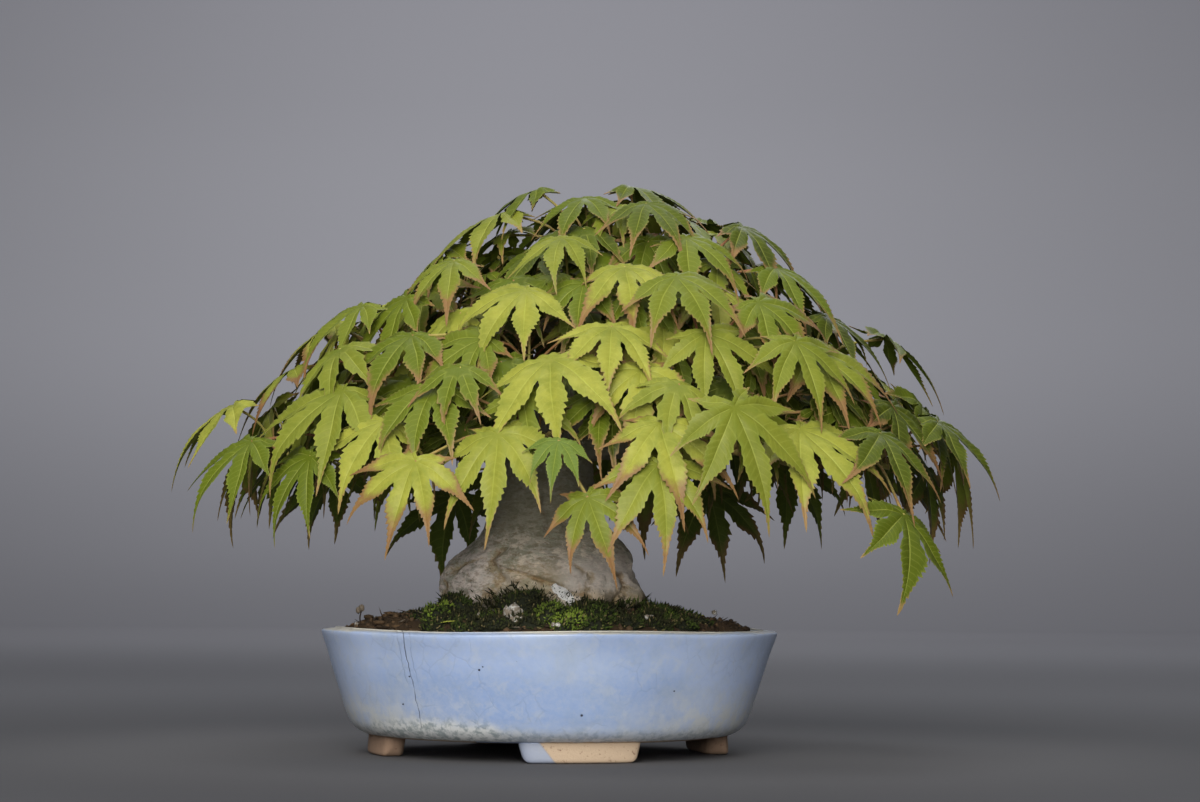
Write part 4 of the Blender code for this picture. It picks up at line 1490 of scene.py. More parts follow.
    def stem_surface(self) -> Surface:
        """The fine trunk: ovals round a smooth middle line, carved and then roughened.

        The levels lie closer together near the foot.

        Returns:
            The closed trunk without its limbs.
        """
        rings = np.array(self.fine_rings)
        levels = np.linspace(rings[0, 0], rings[-1, 0], self.fine_levels)
        levels = levels + 0.25 * (levels - rings[0, 0]) * (levels - rings[-1, 0]) / np.ptp(rings[:, 0])
        dense = smooth(rings, 600)
        table = np.stack([np.interp(levels, dense[:, 0], column) for column in dense.T])
        height, half_width, half_depth, x, y = table[:, :, None]
        angle = (TURN * np.arange(self.fine_sides) / self.fine_sides)[None, :]
        ridge, seam = self.carved(angle, height, half_width)
        across = x + half_width * (1.0 + ridge) * np.cos(angle)
        deep = y + half_depth * (1.0 + ridge) * np.sin(angle)
        flat = np.stack(np.broadcast_arrays(across, deep, height), axis=-1).reshape(-1, 3)
        out = np.stack(np.broadcast_arrays(np.cos(angle), np.sin(angle), 0.0 * height), axis=-1)
        rough = self.roughness(flat, np.broadcast_to(half_width, ridge.shape).reshape(-1))
        rows = (flat + rough[:, None] * out.reshape(-1, 3)).reshape(out.shape)
        ends = [np.broadcast_to(rows[end].mean(axis=0), (1, self.fine_sides, 3)) for end in (0, -1)]
        closed = np.concatenate([ends[0], rows, ends[1]]).reshape(-1, 3)
        faces = grid_faces(self.fine_levels + 2, self.fine_sides, closed=True)
        seam = np.concatenate((seam[:1], seam, seam[-1:])).ravel()
        return Surface(closed, faces).marked(seam=seam).welded().outward()

    def limb_surface(self, bar: tuple) -> Surface:
        """One limb or branch: its path made smooth, its radius a little uneven.

        Args:
            bar: Its path, radii and sides.

        Returns:
            The closed surface.
        """
        path, radii, _ = bar
        count = 8 * (len(path) - 1) + 1
        line = smooth(np.array([tuple(point) for point in path]), count)
        table = smooth(np.array(radii, float)[:, None], count)[:, 0]
        uneven = 1.0 + 0.10 * Waves(14, 0.008, 2).at(line)
        return swept(line, table * uneven * 0.95, 10)

    def build(self, bars: list[tuple], effects: Effects) -> Piece:
        """Makes the trunk piece.

        Args:
            bars: Limbs and branches.
            effects: The shared effects.

        Returns:
            The dressed piece.
        """
        parts = [self.stem_surface()] + [self.limb_surface(bar) for bar in bars]
        made = together(parts).as_object("old_trunk")
        return dress(made, BarkFinish().material(effects), Slot.BARK, "trunk")


def dress(made: Piece, material: Material, slot: Slot, *nodes: str) -> Piece:
    """Gives a piece its material and body, logs its slot, and hides the solids that it replaces.

    Args:
        made: The piece.
        material: Its finish.
        slot: Its material slot, which is logged.
        nodes: The solids that it replaces.

    Returns:
        The piece.
    """
    made.data.materials.clear()
    made.data.materials.append(material)
    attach(made, "root")
    if nodes:
        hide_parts(*nodes)
    LOG.info("%s: %d faces, %s", made.name, len(made.data.polygons), slot.value)
    return made


@dataclass(frozen=True)
class CrownPlan:
    """Where the leaves are: those seen from the front first, then ring by ring, then small ones.

    Front leaves as they look from in front, in millimetres on the plane of the trunk: X and Z of
    the joint, heading of the middle lobe in degrees from straight down towards +X, size in percent,
    tone from dark green to lime in percent, which holds each leaf's own colour with the shade that falls
    on it painted in; the far leaves' low tone is painted shade. Those in the table "added" have no solid
    of their own.
    Fill layers: rings by share of the reach, spacing on a ring, depth under the crown's surface.
    """

    crown: Crown
    plan: LeafPlan = LeafPlan()
    seed: int = 2
    front: Table = (
        (-26, 179, -3, 100, 75), (16, 188, 25, 96, 35), (1, 184, 0, 85, 45), (35, 171, 20, 95, 55),
        (52, 172, 62, 100, 30), (-18, 153, -25, 95, 80), (-10, 130, 12, 115, 85), (15, 161, 0, 95, 85),
        (11, 141, 10, 95, 85), (65, 161, 28, 95, 50), (42, 139, 27, 95, 65), (58, 147, 43, 90, 50),
        (84, 147, 52, 90, 20), (78, 133, 40, 105, 70), (69, 132, 5, 95, 65), (75, 109, 18, 110, 85),
        (27, 109, 6, 100, 90), (49, 108, 18, 110, 60), (21, 129, -5, 90, 85), (-27, 105, 10, 100, 70),
        (-48, 120, -6, 105, 42), (-53, 94, -14, 100, 92), (-79, 119, -32, 115, 58),
        (-66, 111, -18, 90, 85), (-82, 141, -24, 100, 75), (-102, 134, -36, 90, 60),
        (-113, 112, -45, 100, 85), (-109, 102, -30, 95, 35), (-91, 99, -30, 95, 30),
        (-71, 145, -30, 85, 50), (-58, 150, -45, 100, 42), (-41, 160, -20, 85, 60),
        (-33, 139, -55, 95, 45), (-6, 168, 0, 70, 70), (1, 158, -5, 75, 40), (31, 153, 12, 95, 52),
        (27, 97, 2, 100, 62), (3, 87, 18, 80, 50), (-6, 101, -10, 58, 30), (108, 79, -22, 95, 42),
        (100, 106, 15, 100, 35), (119, 110, 45, 100, 32), (106, 117, 30, 95, 22),
    )
    far: Table = (
        (42, 87, 6, 115, 18), (-82, 91, -8, 100, 18), (-42, 84, -12, 100, 18),
    )
    added: Table = (
        (-103, 134, -42, 92, 60), (-15, 187, -62, 80, 40), (59, 171, 70, 90, 35), (93, 131, 58, 90, 22),
        (102, 121, 62, 80, 20), (84, 147, 62, 85, 25), (-122, 108, -52, 100, 80), (124, 104, 50, 95, 30),
        (-64, 158, -50, 80, 45), (-86, 140, -48, 80, 45), (-39, 125, -10, 75, 40), (22, 150, 8, 70, 45),
        (60, 118, 22, 80, 55), (-4, 118, -30, 70, 40), (42, 160, 35, 75, 50), (-60, 128, -40, 85, 40),
        (92, 118, 40, 85, 35), (-30, 128, -12, 80, 60), (33, 122, 10, 75, 60), (-92, 120, -35, 80, 40),
    )
    layers: tuple[tuple[tuple[float, ...], float, float], ...] = (
        ((0.07, 0.24, 0.40, 0.55, 0.68, 0.79, 0.88), 0.0270, 0.0),
        ((0.15, 0.31, 0.47, 0.63, 0.78), 0.0330, 0.011),
    )
    stations: tuple[float, ...] = (0.97, 0.90, 0.83, 0.76, 0.69, 0.935, 0.865, 0.795, 0.725, 0.655)
    fill_clear: float = 0.017
    moves_out: tuple[float, ...] = (0.0, 0.003, 0.006, 0.010, -0.003, -0.006, -0.010, -0.014)
    moves_round: tuple[float, ...] = (0.0, 10.0, -10.0, 20.0, -20.0, 35.0, -35.0)
    hangs: tuple[float, ...] = (0.0, 14.0, 28.0)
    move_costs: tuple[float, float, float] = (1500.0, 0.3, 0.2)
    ring_shift: float = 0.18
    plan_shift: float = 0.02
    ring_twist: float = 32.0
    ring_sizes: tuple[float, float] = (0.86, 1.08)
    limit: int = 130
    lowest_seen: float = 0.044
    lowest: float = 0.064
    box: tuple[float, float, float] = (0.1410, 0.1160, 0.1900)
    tones: tuple[float, float] = (0.25, 0.90)
    tries: int = 640
    close_spread: float = 0.84
    close_reach: float = 0.72
    close_depth: tuple[float, float] = (0.001, 0.024)
    close_sizes: tuple[float, float] = (0.62, 0.96)
    close_moves: int = 30
    close_twist: float = 60.0
    close_lowest: float = 0.078
    inner_shade: float = 0.55
    stalk_foot: float = 0.005
    stalk_rise: float = 0.12
    dip: float = math.radians(8.0)

    def axes(self, normal: Vector, heading: Vector, twist: float, hang: float) -> tuple[Vector, ...]:
        """A blade's directions: the heading is laid in the crown's surface, turned and lifted.

        Args:
            normal: The crown's outward direction.
            heading: Where the middle lobe points.
            twist: Turn about the normal, in radians.
            hang: Tilt down, in radians.

        Returns:
            Ahead, to the side and up.
        """
        ahead = (heading - normal * heading.dot(normal)).normalized()
        ahead = Matrix.Rotation(twist, 3, normal) @ ahead
        slope = math.asin(max(-1.0, min(1.0, -ahead.z)))
        lift = 0.5 * slope - self.dip - hang
        side = normal.cross(ahead)
        turn = Matrix.Rotation(-lift, 3, side)
        return turn @ ahead, side, turn @ normal

    def inside(self, leaf: Leaf, lowest: float) -> bool:
        """Tests the lobe tips.

        Args:
            leaf: The leaf.
            lowest: The height that they stay over.

        Returns:
            Whether all lie in the plant's outline and over its underside.
        """
        tips = [leaf.point(*polar(bearing, length)) for bearing, length, _ in self.plan.lobes]
        x, y, z = self.box
        return all(abs(tip.x) < x and abs(tip.y) < y and lowest < tip.z < z for tip in tips)

    def add(
        self,
        sprays: list[Spray],
        obstacles: list[Obstacle],
        wish: Wish,
        moves: list[tuple[float, float, float]],
        lowest: float,
        close: LeafPlan | None = None,
    ) -> bool:
        """Puts a leaf near its spot on the crown, by the first move that is clear.

        Args:
            sprays: The sprays, of which the nearest gets the leaf.
            obstacles: What is there, which the leaf joins.
            wish: The leaf.
            moves: Shifts outwards, turns and hangs to try, in degrees.
            lowest: The height that its tips stay over.
            close: The tighter plan that tests a leaf which only the looks have.

        Returns:
            Whether a place was found.
        """
        normal = self.crown.normal(wish.spot)
        room = len(self.stations) * (3 if close else 1)
        plan = close or self.plan
        for offset, twist, hang in moves:
            ahead, side, up = self.axes(normal, wish.heading, math.radians(twist), math.radians(hang))
            joint = wish.spot + normal * offset
            owner = min(range(len(sprays)), key=lambda i: (sprays[i].path[-1] - joint).length)
            count = len(sprays[owner].leaves)
            if count >= room:
                continue
            foot = sprays[owner].station(self.stations[count % len(self.stations)])
            leaf = Leaf(joint, ahead, side, up, wish.length, foot, wish.tone, close is not None)
            stalk = (joint - foot).normalized()
            if stalk.dot(up) < self.stalk_rise or not self.inside(leaf, lowest):
                continue
            kept = max(0.0, 1.0 - self.stalk_foot / (foot - joint).length)
            mine = Obstacle.of(owner, plan.guard(leaf), plan.guard(leaf, kept))
            if not any(mine.meets(other) for other in obstacles):
                obstacles.append(mine)
                sprays[owner].leaves.append(leaf)
                return True
        return False

    def fill(self, trunk: Trunk, sprays: list[Spray], bars: list[tuple]) -> None:
        """Fills the sprays with the leaves that the solids have, and then with closer ones.

        Args:
            trunk: The trunk that the leaves keep clear of.
            sprays: The sprays.
            bars: Limbs and branches.
        """
        wood = trunk.solid(bars)
        obstacles = [Obstacle.of(-1, wood, wood)]
        for owner, spray in enumerate(sprays):
            twig = trunk.twig(spray)
            obstacles.append(Obstacle.of(owner, twig, twig))
        moves = list(product(self.moves_out, self.moves_round, self.hangs))
        moves.sort(key=lambda move: sum(cost * abs(part) for cost, part in zip(self.move_costs, move)))
        for wish in self.wishes(self.front, Side.NEAR) + self.wishes(self.far, Side.FAR):
            self.add(sprays, obstacles, wish, moves, self.lowest_seen)
        self.fill_rings(sprays, obstacles, moves)
        close = replace(self.plan, spread=self.close_spread, thickness=0.0)
        for wish in self.wishes(self.added, Side.NEAR):
            self.add(sprays, obstacles, wish, moves, self.close_lowest, close)
        self.thicken(sprays, obstacles, moves[: self.close_moves], close)

    def wishes(self, table: tuple, side: Side) -> list[Wish]:
        """Reads a table of leaves.

        Args:
            table: The table.
            side: The side of the crown that they lie on.

        Returns:
            The wanted leaves.
        """
        made = []
        for x, z, degrees, percent, tone in table:
            angle = math.radians(degrees)
            heading = Vector((math.sin(angle), 0.0, -math.cos(angle)))
            spot = self.crown.seen(x / 1000.0, z / 1000.0, side)
            made.append(Wish(spot, heading, self.plan.length * percent / 100.0, tone / 100.0))
        return made

    def fill_rings(self, sprays: list[Spray], obstacles: list[Obstacle], moves: list[tuple]) -> None:
        """Goes round the crown ring by ring, with seeded shifts, until the limit is reached.

        Args:
            sprays: The sprays.
            obstacles: What is there.
            moves: Shifts, turns and hangs to try.
        """
        chance = random.Random(self.seed)
        tones = random.Random(self.seed + 2)
        size = 0.25 * (self.crown.left + self.crown.right + 2.0 * self.crown.depth)
        for rings, spacing, depth in self.layers:
            for level, plan in enumerate(rings):
                around = TURN * plan * size
                number = max(3, round(around / spacing))
                for index in range(number):
                    shift = chance.uniform(-self.ring_shift, self.ring_shift)
                    bearing = TURN * (index + 0.5 * (level % 2) + shift) / number
                    off = chance.uniform(-self.plan_shift, self.plan_shift)
                    spot = self.crown.point(bearing, plan + off)
                    heading = Vector((math.cos(bearing), math.sin(bearing), -1.0))
                    twist = chance.uniform(-self.ring_twist, self.ring_twist)
                    length = self.plan.length * chance.uniform(*self.ring_sizes)
                    spot -= self.crown.normal(spot) * depth
                    joints = [leaf.joint for spray in sprays for leaf in spray.leaves]
                    if len(joints) >= self.limit:
                        continue
                    if min((joint - spot).length for joint in joints) < self.fill_clear - 0.5 * depth:
                        continue
                    wish = Wish(spot, heading, length, tones.uniform(*self.tones))
                    shifted = [(offset, twist + turn, hang) for offset, turn, hang in moves]
                    self.add(sprays, obstacles, wish, shifted, self.lowest)

    def thicken(
        self, sprays: list[Spray], obstacles: list[Obstacle], moves: list[tuple], close: LeafPlan
    ) -> None:
        """Adds leaves between and under the others, closer together than the solids may stand.

        Args:
            sprays: The sprays.
            obstacles: What is there.
            moves: Shifts, turns and hangs to try.
            close: The tighter plan.
        """
        chance = random.Random(self.seed + 1)
        placed = 0
        for _ in range(self.tries):
            bearing = chance.uniform(0.0, TURN)
            spot = self.crown.point(bearing, math.sqrt(chance.uniform(0.0, self.close_reach)))
            depth = chance.uniform(*self.close_depth)
            spot -= self.crown.normal(spot) * depth
            heading = Vector((math.cos(bearing), math.sin(bearing), -1.0))
            twist = chance.uniform(-self.close_twist, self.close_twist)
            length = self.plan.length * chance.uniform(*self.close_sizes)
            # Painted shade: the deeper a leaf lies under the crown's surface, the lower its tone.
            tone = chance.uniform(*self.tones) - self.inner_shade * depth / self.close_depth[1]
            shifted = [(offset, twist + turn, hang) for offset, turn, hang in moves]
            wish = Wish(spot, heading, length, tone)
            placed += self.add(sprays, obstacles, wish, shifted, self.close_lowest, close)
        LOG.info("%d leaves between the others", placed)


@dataclass(frozen=True)
class Blade:
    """The fine blade: seven ovate lobes with forward teeth and a long drawn-out tip.

    Outline: the share of a lobe's length, and there the share of its greatest half width.
    """

    plan: LeafPlan = LeafPlan()
    outline: Table = (
        (0.00, 0.22), (0.20, 0.43), (0.30, 0.66), (0.39, 0.89), (0.47, 1.00), (0.56, 0.89), (0.64, 0.64),
        (0.72, 0.41), (0.80, 0.25), (0.88, 0.16), (0.95, 0.10), (1.00, 0.00),
    )
    fullness: float = 1.02
    basal_width: float = 0.078
    basal_reach: float = 0.36
    teeth: int = 11
    basal_teeth: int = 4
    columns: tuple[float, ...] = (-1.0, -0.5, 0.0, 0.5, 1.0)
    palm_rows: int = 3
    tooth_depth: float = 0.12
    tooth_hook: float = 0.30
    sweep: float = 0.70
    toothed: tuple[float, float] = (0.04, 0.86)
    tip_rows: tuple[float, ...] = (0.90, 0.95, 1.0)
    thickness: float = 0.0075
    fold: float = 0.62
    round_off: float = 0.34
    ripple: float = 0.0030
    shingle: float = 0.022
    seed: int = 5

    def edge(
        self, side: int, notch: np.ndarray, rib: np.ndarray, length: float, width: float, teeth: int
    ) -> tuple[np.ndarray, ...]:
        """One edge of a lobe beyond its notch, and the points half way in to the rib.

        A row runs forward from its rib point by the sweep times the half width. The half width is
        read from the outline where the row meets the edge. Every other row is a tooth's tip,
        which is drawn forward, and the row after it is the notch behind the next tooth.

        Args:
            side: 0 or 1, which offsets the teeth's sizes.
            notch: The edge's first point, along and across.
            rib: Where the rows leave the rib.
            length: The lobe's length.
            width: Its greatest half width.
            teeth: Number of teeth.

        Returns:
            Along and across of the edge, then of the points half way in.
        """
        chance = np.random.default_rng(self.seed + 10 * side + teeth)
        at, wide = np.array(self.outline).T
        base = abs(notch[1])
        share = (rib - rib[0]) / (length - rib[0])
        gap = (notch[0] - self.sweep * base - rib[0]) * (1.0 - share)
        place = rib + self.sweep * base + gap
        for _ in range(6):
            half = np.interp(place / length, at, wide) * width * self.fullness
            half = base + (half - base) * step_up(share, 0.0, 0.16)
            place = rib + self.sweep * half + gap
        number = np.arange(len(rib))
        tooth = np.minimum(number // 2, teeth)
        size = np.where((tooth + side) % 2 == 0, 1.0, 0.6) * chance.uniform(0.40, 1.45, teeth + 1)[tooth]
        size = size * (number < 2 * teeth) * step_up(share, -0.02, 0.12)
        tip = number % 2 == 0
        cut = np.where(tip, -0.05, self.tooth_depth + 0.24 * share) * size
        pitch = (self.toothed[1] - self.toothed[0]) * (length - rib[0]) / teeth
        hook = np.where(tip, self.tooth_hook, -0.10) * size * pitch
        inner = rib + 0.5 * (self.sweep * half + gap)
        return place + hook, half * (1.0 - cut), inner, 0.5 * half

    def lobe(self, bearing: float, length: float, width: float, sides: tuple, teeth: int) -> Surface:
        """One lobe as a grid: rows swept forward from its rib, columns from edge to edge.

        In the palm the edges are straight lines from the joint to the notches, beyond it they are
        the toothed edges. The lift is a fold along the rib, rounded off towards the edges, and
        beyond the notches each lobe lies a little lower the further it is from the middle one.

        Args:
            bearing: Degrees from the middle lobe.
            length: Distance from the joint to the tip.
            width: Greatest half width.
            sides: Bearing and distance of the notch on either side.
            teeth: Number of teeth on a side.

        Returns:
            The flat lobe, with its marks and, as a mark, its lift.
        """
        columns = np.abs(np.array(self.columns))
        notch = np.array([polar(side - bearing, reach) for side, reach in sides])
        start = (notch[:, 0] - self.sweep * np.abs(notch[:, 1])).mean()
        share = np.concatenate(([0.0], np.linspace(*self.toothed, 2 * teeth)[1:], self.tip_rows))
        count = len(share)
        rib = start + (length - start) * share
        left = self.edge(0, notch[0], rib, length, width, teeth)
        right = self.edge(1, notch[1], rib, length, width, teeth)
        a = np.stack((left[0], left[2], rib, right[2], right[0]), axis=1)
        b = np.stack((-left[1], -left[3], 0.0 * rib, right[3], right[1]), axis=1)

        palm = np.arange(self.palm_rows)[:, None] / self.palm_rows
        corners = np.array([notch[0], notch[0], (start, 0.0), notch[1], notch[1]])
        middle = np.array((start, 0.0))
        corners = middle + (corners - middle) * columns[:, None]
        a = np.concatenate((palm * corners[:, 0], a))
        b = np.concatenate((palm * corners[:, 1], b))

        row = np.concatenate((palm[:, 0] * 0.0 - 0.5, np.arange(count) / 2.0))[:, None]
        along = np.hypot(a, b) / length
        across = np.broadcast_to(columns, a.shape)
        beyond = np.concatenate((0.0 * palm[:, 0], np.ones(count)))[:, None]
        half = np.abs(b[:, [0]]) + np.abs(b[:, [-1]])
        lift = 0.5 * half * (self.fold * across - self.round_off * across**2)
        lift = lift + self.ripple * np.cos(TURN * row) * across * beyond * (1.0 - along)
        lift = lift - self.shingle * abs(bearing) / 44.0 * beyond * step_up(along, 0.25, 0.55)

        angle = math.radians(bearing)
        x = a * math.cos(angle) - b * math.sin(angle)
        y = a * math.sin(angle) + b * math.cos(angle)
        points = np.stack((x, y, 0.0 * x), axis=-1).reshape(-1, 3)
        made = Surface(points, grid_faces(len(a), len(columns)))
        return made.marked(
            along=np.clip(along, 0.0, 1.0).ravel(),
            across=across.ravel(),
            rim=(across * beyond).ravel(),
            row=np.broadcast_to(row, a.shape).ravel(),
            lift=lift.ravel(),
        )

    def template(self) -> Surface:
        """The whole flat blade as one closed thin shell, with lobes welded along the palm.

        Returns:
            Points along, across and lifted, as shares of the leaf's length.
        """
        plan = self.plan
        lobes = [
            (-plan.basal_bearing, self.basal_reach, self.basal_width, self.basal_teeth),
            *((bearing, length, width, self.teeth) for bearing, length, width in plan.lobes),
            (plan.basal_bearing, self.basal_reach, self.basal_width, self.basal_teeth),
        ]
        bearings = [lobe[0] for lobe in plan.lobes]
        between = [0.5 * (a + b) for a, b in zip(bearings, bearings[1:])]
        outer = bearings[-1] + plan.outer_notch
        inner = zip((-outer, *between, outer), plan.notches)
        notches = [(-180.0, plan.base_notch), *inner, (180.0, plan.base_notch)]
        parts = [
            self.lobe(bearing, length, width, (notches[index], notches[index + 1]), teeth)
            for index, (bearing, length, width, teeth) in enumerate(lobes)
        ]
        return shell(together(parts).welded(), self.thickness)


def shell(sheet: Surface, thickness: float) -> Surface:
    """A sheet as a closed shell: both skins share its border, and bulge apart inside it.

    Args:
        sheet: The sheet, with its height in the mark "lift".
        thickness: The distance between the skins.

    Returns:
        The shell, with the mark "under" on its lower skin.
    """
    count = len(sheet.points)
    pairs = np.sort(np.concatenate([sheet.faces[:, [i, (i + 1) % 4]] for i in range(4)]), axis=1)
    pairs = pairs[pairs[:, 0] != pairs[:, 1]]
    edges, times = np.unique(pairs, axis=0, return_counts=True)
    border = np.zeros(count, bool)
    border[edges[times == 1].ravel()] = True
    inside = ~border
    lower = np.arange(count)
    lower[inside] = count + np.arange(inside.sum())
    faces = np.concatenate((sheet.faces, tidy_faces(lower[sheet.faces][:, ::-1])))
    marks = {name: np.concatenate((values, values[inside])) for name, values in sheet.marks.items()}
    under = np.concatenate((border * 0.5, np.ones(inside.sum())))
    made = Surface(np.concatenate((sheet.points, sheet.points[inside])), faces, marks).marked(under=under)
    half = 0.5 * thickness
    bulge = np.concatenate((np.where(border, 0.0, half), np.full(inside.sum(), -half)))
    made.points[:, 2] = made.marks.pop("lift") + bulge
    return made


@dataclass
class Foliage:
    """The leafy sprays: each a twig with its stalks and fine blades."""

    sprays: list[Spray]
    blades: tuple[Blade, ...] = (
        Blade(),
        Blade(seed=6, fullness=1.12),
        Blade(seed=8, fullness=0.94, sweep=0.78),
    )
    far_blades: tuple[Blade, ...] = (Blade(teeth=8), Blade(seed=6, fullness=1.12, teeth=8))
    plain: Blade = Blade(teeth=5, basal_teeth=3, palm_rows=1, tip_rows=(0.93, 1.0))
    bearing_jitter: float = math.radians(7.0)
    length_jitter: float = 0.11
    bend: float = 0.17
    gather: float = 0.06
    droop: float = 0.28
    curl: float = 1.20
    curl_from: float = 0.62
    side_calm: float = 0.65
    rust: tuple[float, float] = (0.62, 0.28)
    rust_limits: tuple[float, float] = (0.10, 1.15)
    rust_right: float = 0.16
    small_rust: float = 0.75
    young_length: float = 0.020
    youth: float = 0.55
    stalk_radius: float = 0.00042
    shade_right: float = 0.18
    shade_top: float = 0.14
    seed: int = 7

    def tinted(self, made: Surface, leaf: Leaf, chance: np.random.Generator) -> Surface:
        """Marks a blade with its tone, its rust and whether it is young.

        Leaves are given painted shade, a lower tone, far to the right and at the top, and are rustier
        from the middle to the right.

        Args:
            made: The blade.
            leaf: The leaf.
            chance: Where its rust is drawn from.

        Returns:
            The blade.
        """
        x, _, z = np.array(leaf.joint)
        rust = chance.normal(*self.rust) + self.rust_right * step_up(x, -0.010, 0.020)
        rust = np.clip(rust, *self.rust_limits) * (self.small_rust if leaf.small else 1.0)
        young = self.youth if leaf.length < self.young_length else 0.0
        # Painted shade: the tone is lowered far to the right of the crown and at its top.
        painted_shade = self.shade_right * step_up(x, 0.030, 0.095)
        painted_shade = painted_shade + self.shade_top * step_up(z, 0.140, 0.180)
        return made.marked(tone=leaf.tone - painted_shade, rust=rust * (1.0 - young), young=young, stalk=0.0)

    def blade_surface(self, leaf: Leaf, template: Surface, chance: np.random.Generator) -> Surface:
        """One blade: the template with each lobe turned, stretched and bent, hanging by its weight.

        The turn grows with the distance from the joint and the bend with its square, both
        interpolated between the lobes' bearings. Then each point is pulled straight down by the
        droop times the distance squared, and put back at its old distance from the joint.

        Args:
            leaf: The leaf.
            template: The flat blade.
            chance: Where the changes are drawn from.

        Returns:
            The blade in place.
        """
        lobes = self.plain.plan.lobes
        at = np.radians([-180.0, -134.0, *(lobe[0] for lobe in lobes), 134.0, 180.0])
        draws = chance.uniform(-1.0, 1.0, (4, len(at)))
        draws[:, 0] = draws[:, -1] = 0.0
        a, b, lift = template.points.T
        reach = np.hypot(a, b)
        angle = np.arctan2(b, a)
        turn, stretch, bend, droop = (np.interp(angle, at, draw) for draw in draws)
        angle = angle * (1.0 - self.gather * np.minimum(1.0, reach * 2.0) * np.cos(0.5 * angle))
        angle = angle + self.bearing_jitter * turn * np.minimum(1.0, reach * 3.0)
        angle = angle + self.bend * bend * reach**2
        distance = reach * (1.0 + self.length_jitter * stretch * np.minimum(1.0, reach * 2.0))
        plan = np.column_stack((distance * np.cos(angle), distance * np.sin(angle)))
        joint = np.array(leaf.joint)
        flat = leaf.laid(plan, lift) - joint
        curled = self.curl * (1.0 + 0.9 * bend) * np.maximum(0.0, reach - self.curl_from) ** 2
        weight = self.droop * (1.0 + 0.6 * droop) * reach**2 + curled
        weight = weight * (1.0 - self.side_calm * step_up(abs(joint[0] + 0.010), 0.060, 0.115))
        hung = flat.copy()
        hung[:, 2] -= leaf.length * weight
        hung = unit(hung) * np.linalg.norm(flat, axis=1, keepdims=True)
        return self.tinted(Surface(joint + hung, template.faces, dict(template.marks)), leaf, chance)

    def stalk_surface(self, leaf: Leaf) -> Surface:
        """A leaf's stalk: a thin arched bar, thicker at both ends.

        Args:
            leaf: The leaf.

        Returns:
            The closed surface.
        """
        foot, joint = np.array(leaf.foot), np.array(leaf.joint)
        way = joint - foot
        middle = 0.5 * (foot + joint) + np.array((0.0, 0.0, 0.10)) * np.linalg.norm(way)
        middle = middle - 0.04 * np.linalg.norm(way) * np.array(leaf.ahead)
        end = joint - np.array(leaf.up) * 0.0002
        line = smooth(np.array((foot, middle, end)), 9)
        taper = 1.0 + 0.5 * np.abs(np.linspace(-1.0, 1.0, 9)) ** 4
        return swept(line, self.stalk_radius * taper, 6).marked(stalk=1.0, tone=0.5)

    def twig_surface(self, spray: Spray, radius: float) -> Surface:
        """A spray's twig: its path made smooth.

        Args:
            spray: The spray.
            radius: The twig's radius.

        Returns:
            The closed surface.
        """
        line = smooth(np.array([tuple(point) for point in spray.path]), 19)
        taper = np.linspace(1.15, 0.75, 19) * (1.0 + 0.10 * np.cos(np.arange(19) * 2.1))
        return swept(line, radius * taper, 8).marked(stalk=1.0, tone=0.5)

    def build(self, effects: Effects, twig_radius: float) -> list[Piece]:
        """Makes one piece for each spray.

        Args:
            effects: The shared effects.
            twig_radius: The twigs' radius.

        Returns:
            The dressed pieces.
        """
        near, far = ([blade.template() for blade in kinds] for kinds in (self.blades, self.far_blades))
        plain = [self.plain.template()]
        material = LeafFinish().material(effects)
        chance = np.random.default_rng(self.seed)
        made = []
        for number, spray in enumerate(self.sprays, start=1):
            parts = [self.twig_surface(spray, twig_radius)]
            for leaf in spray.leaves:
                kinds = plain if leaf.small else (near if leaf.joint[1] < 0.010 else far)
                parts.append(self.stalk_surface(leaf))
                parts.append(self.blade_surface(leaf, kinds[chance.integers(len(kinds))], chance))
            piece = together(parts).as_object(f"leafy_spray_{number:02d}")
            made.append(dress(piece, material, Slot.LEAF, f"spray_{number:02d}"))
        return made


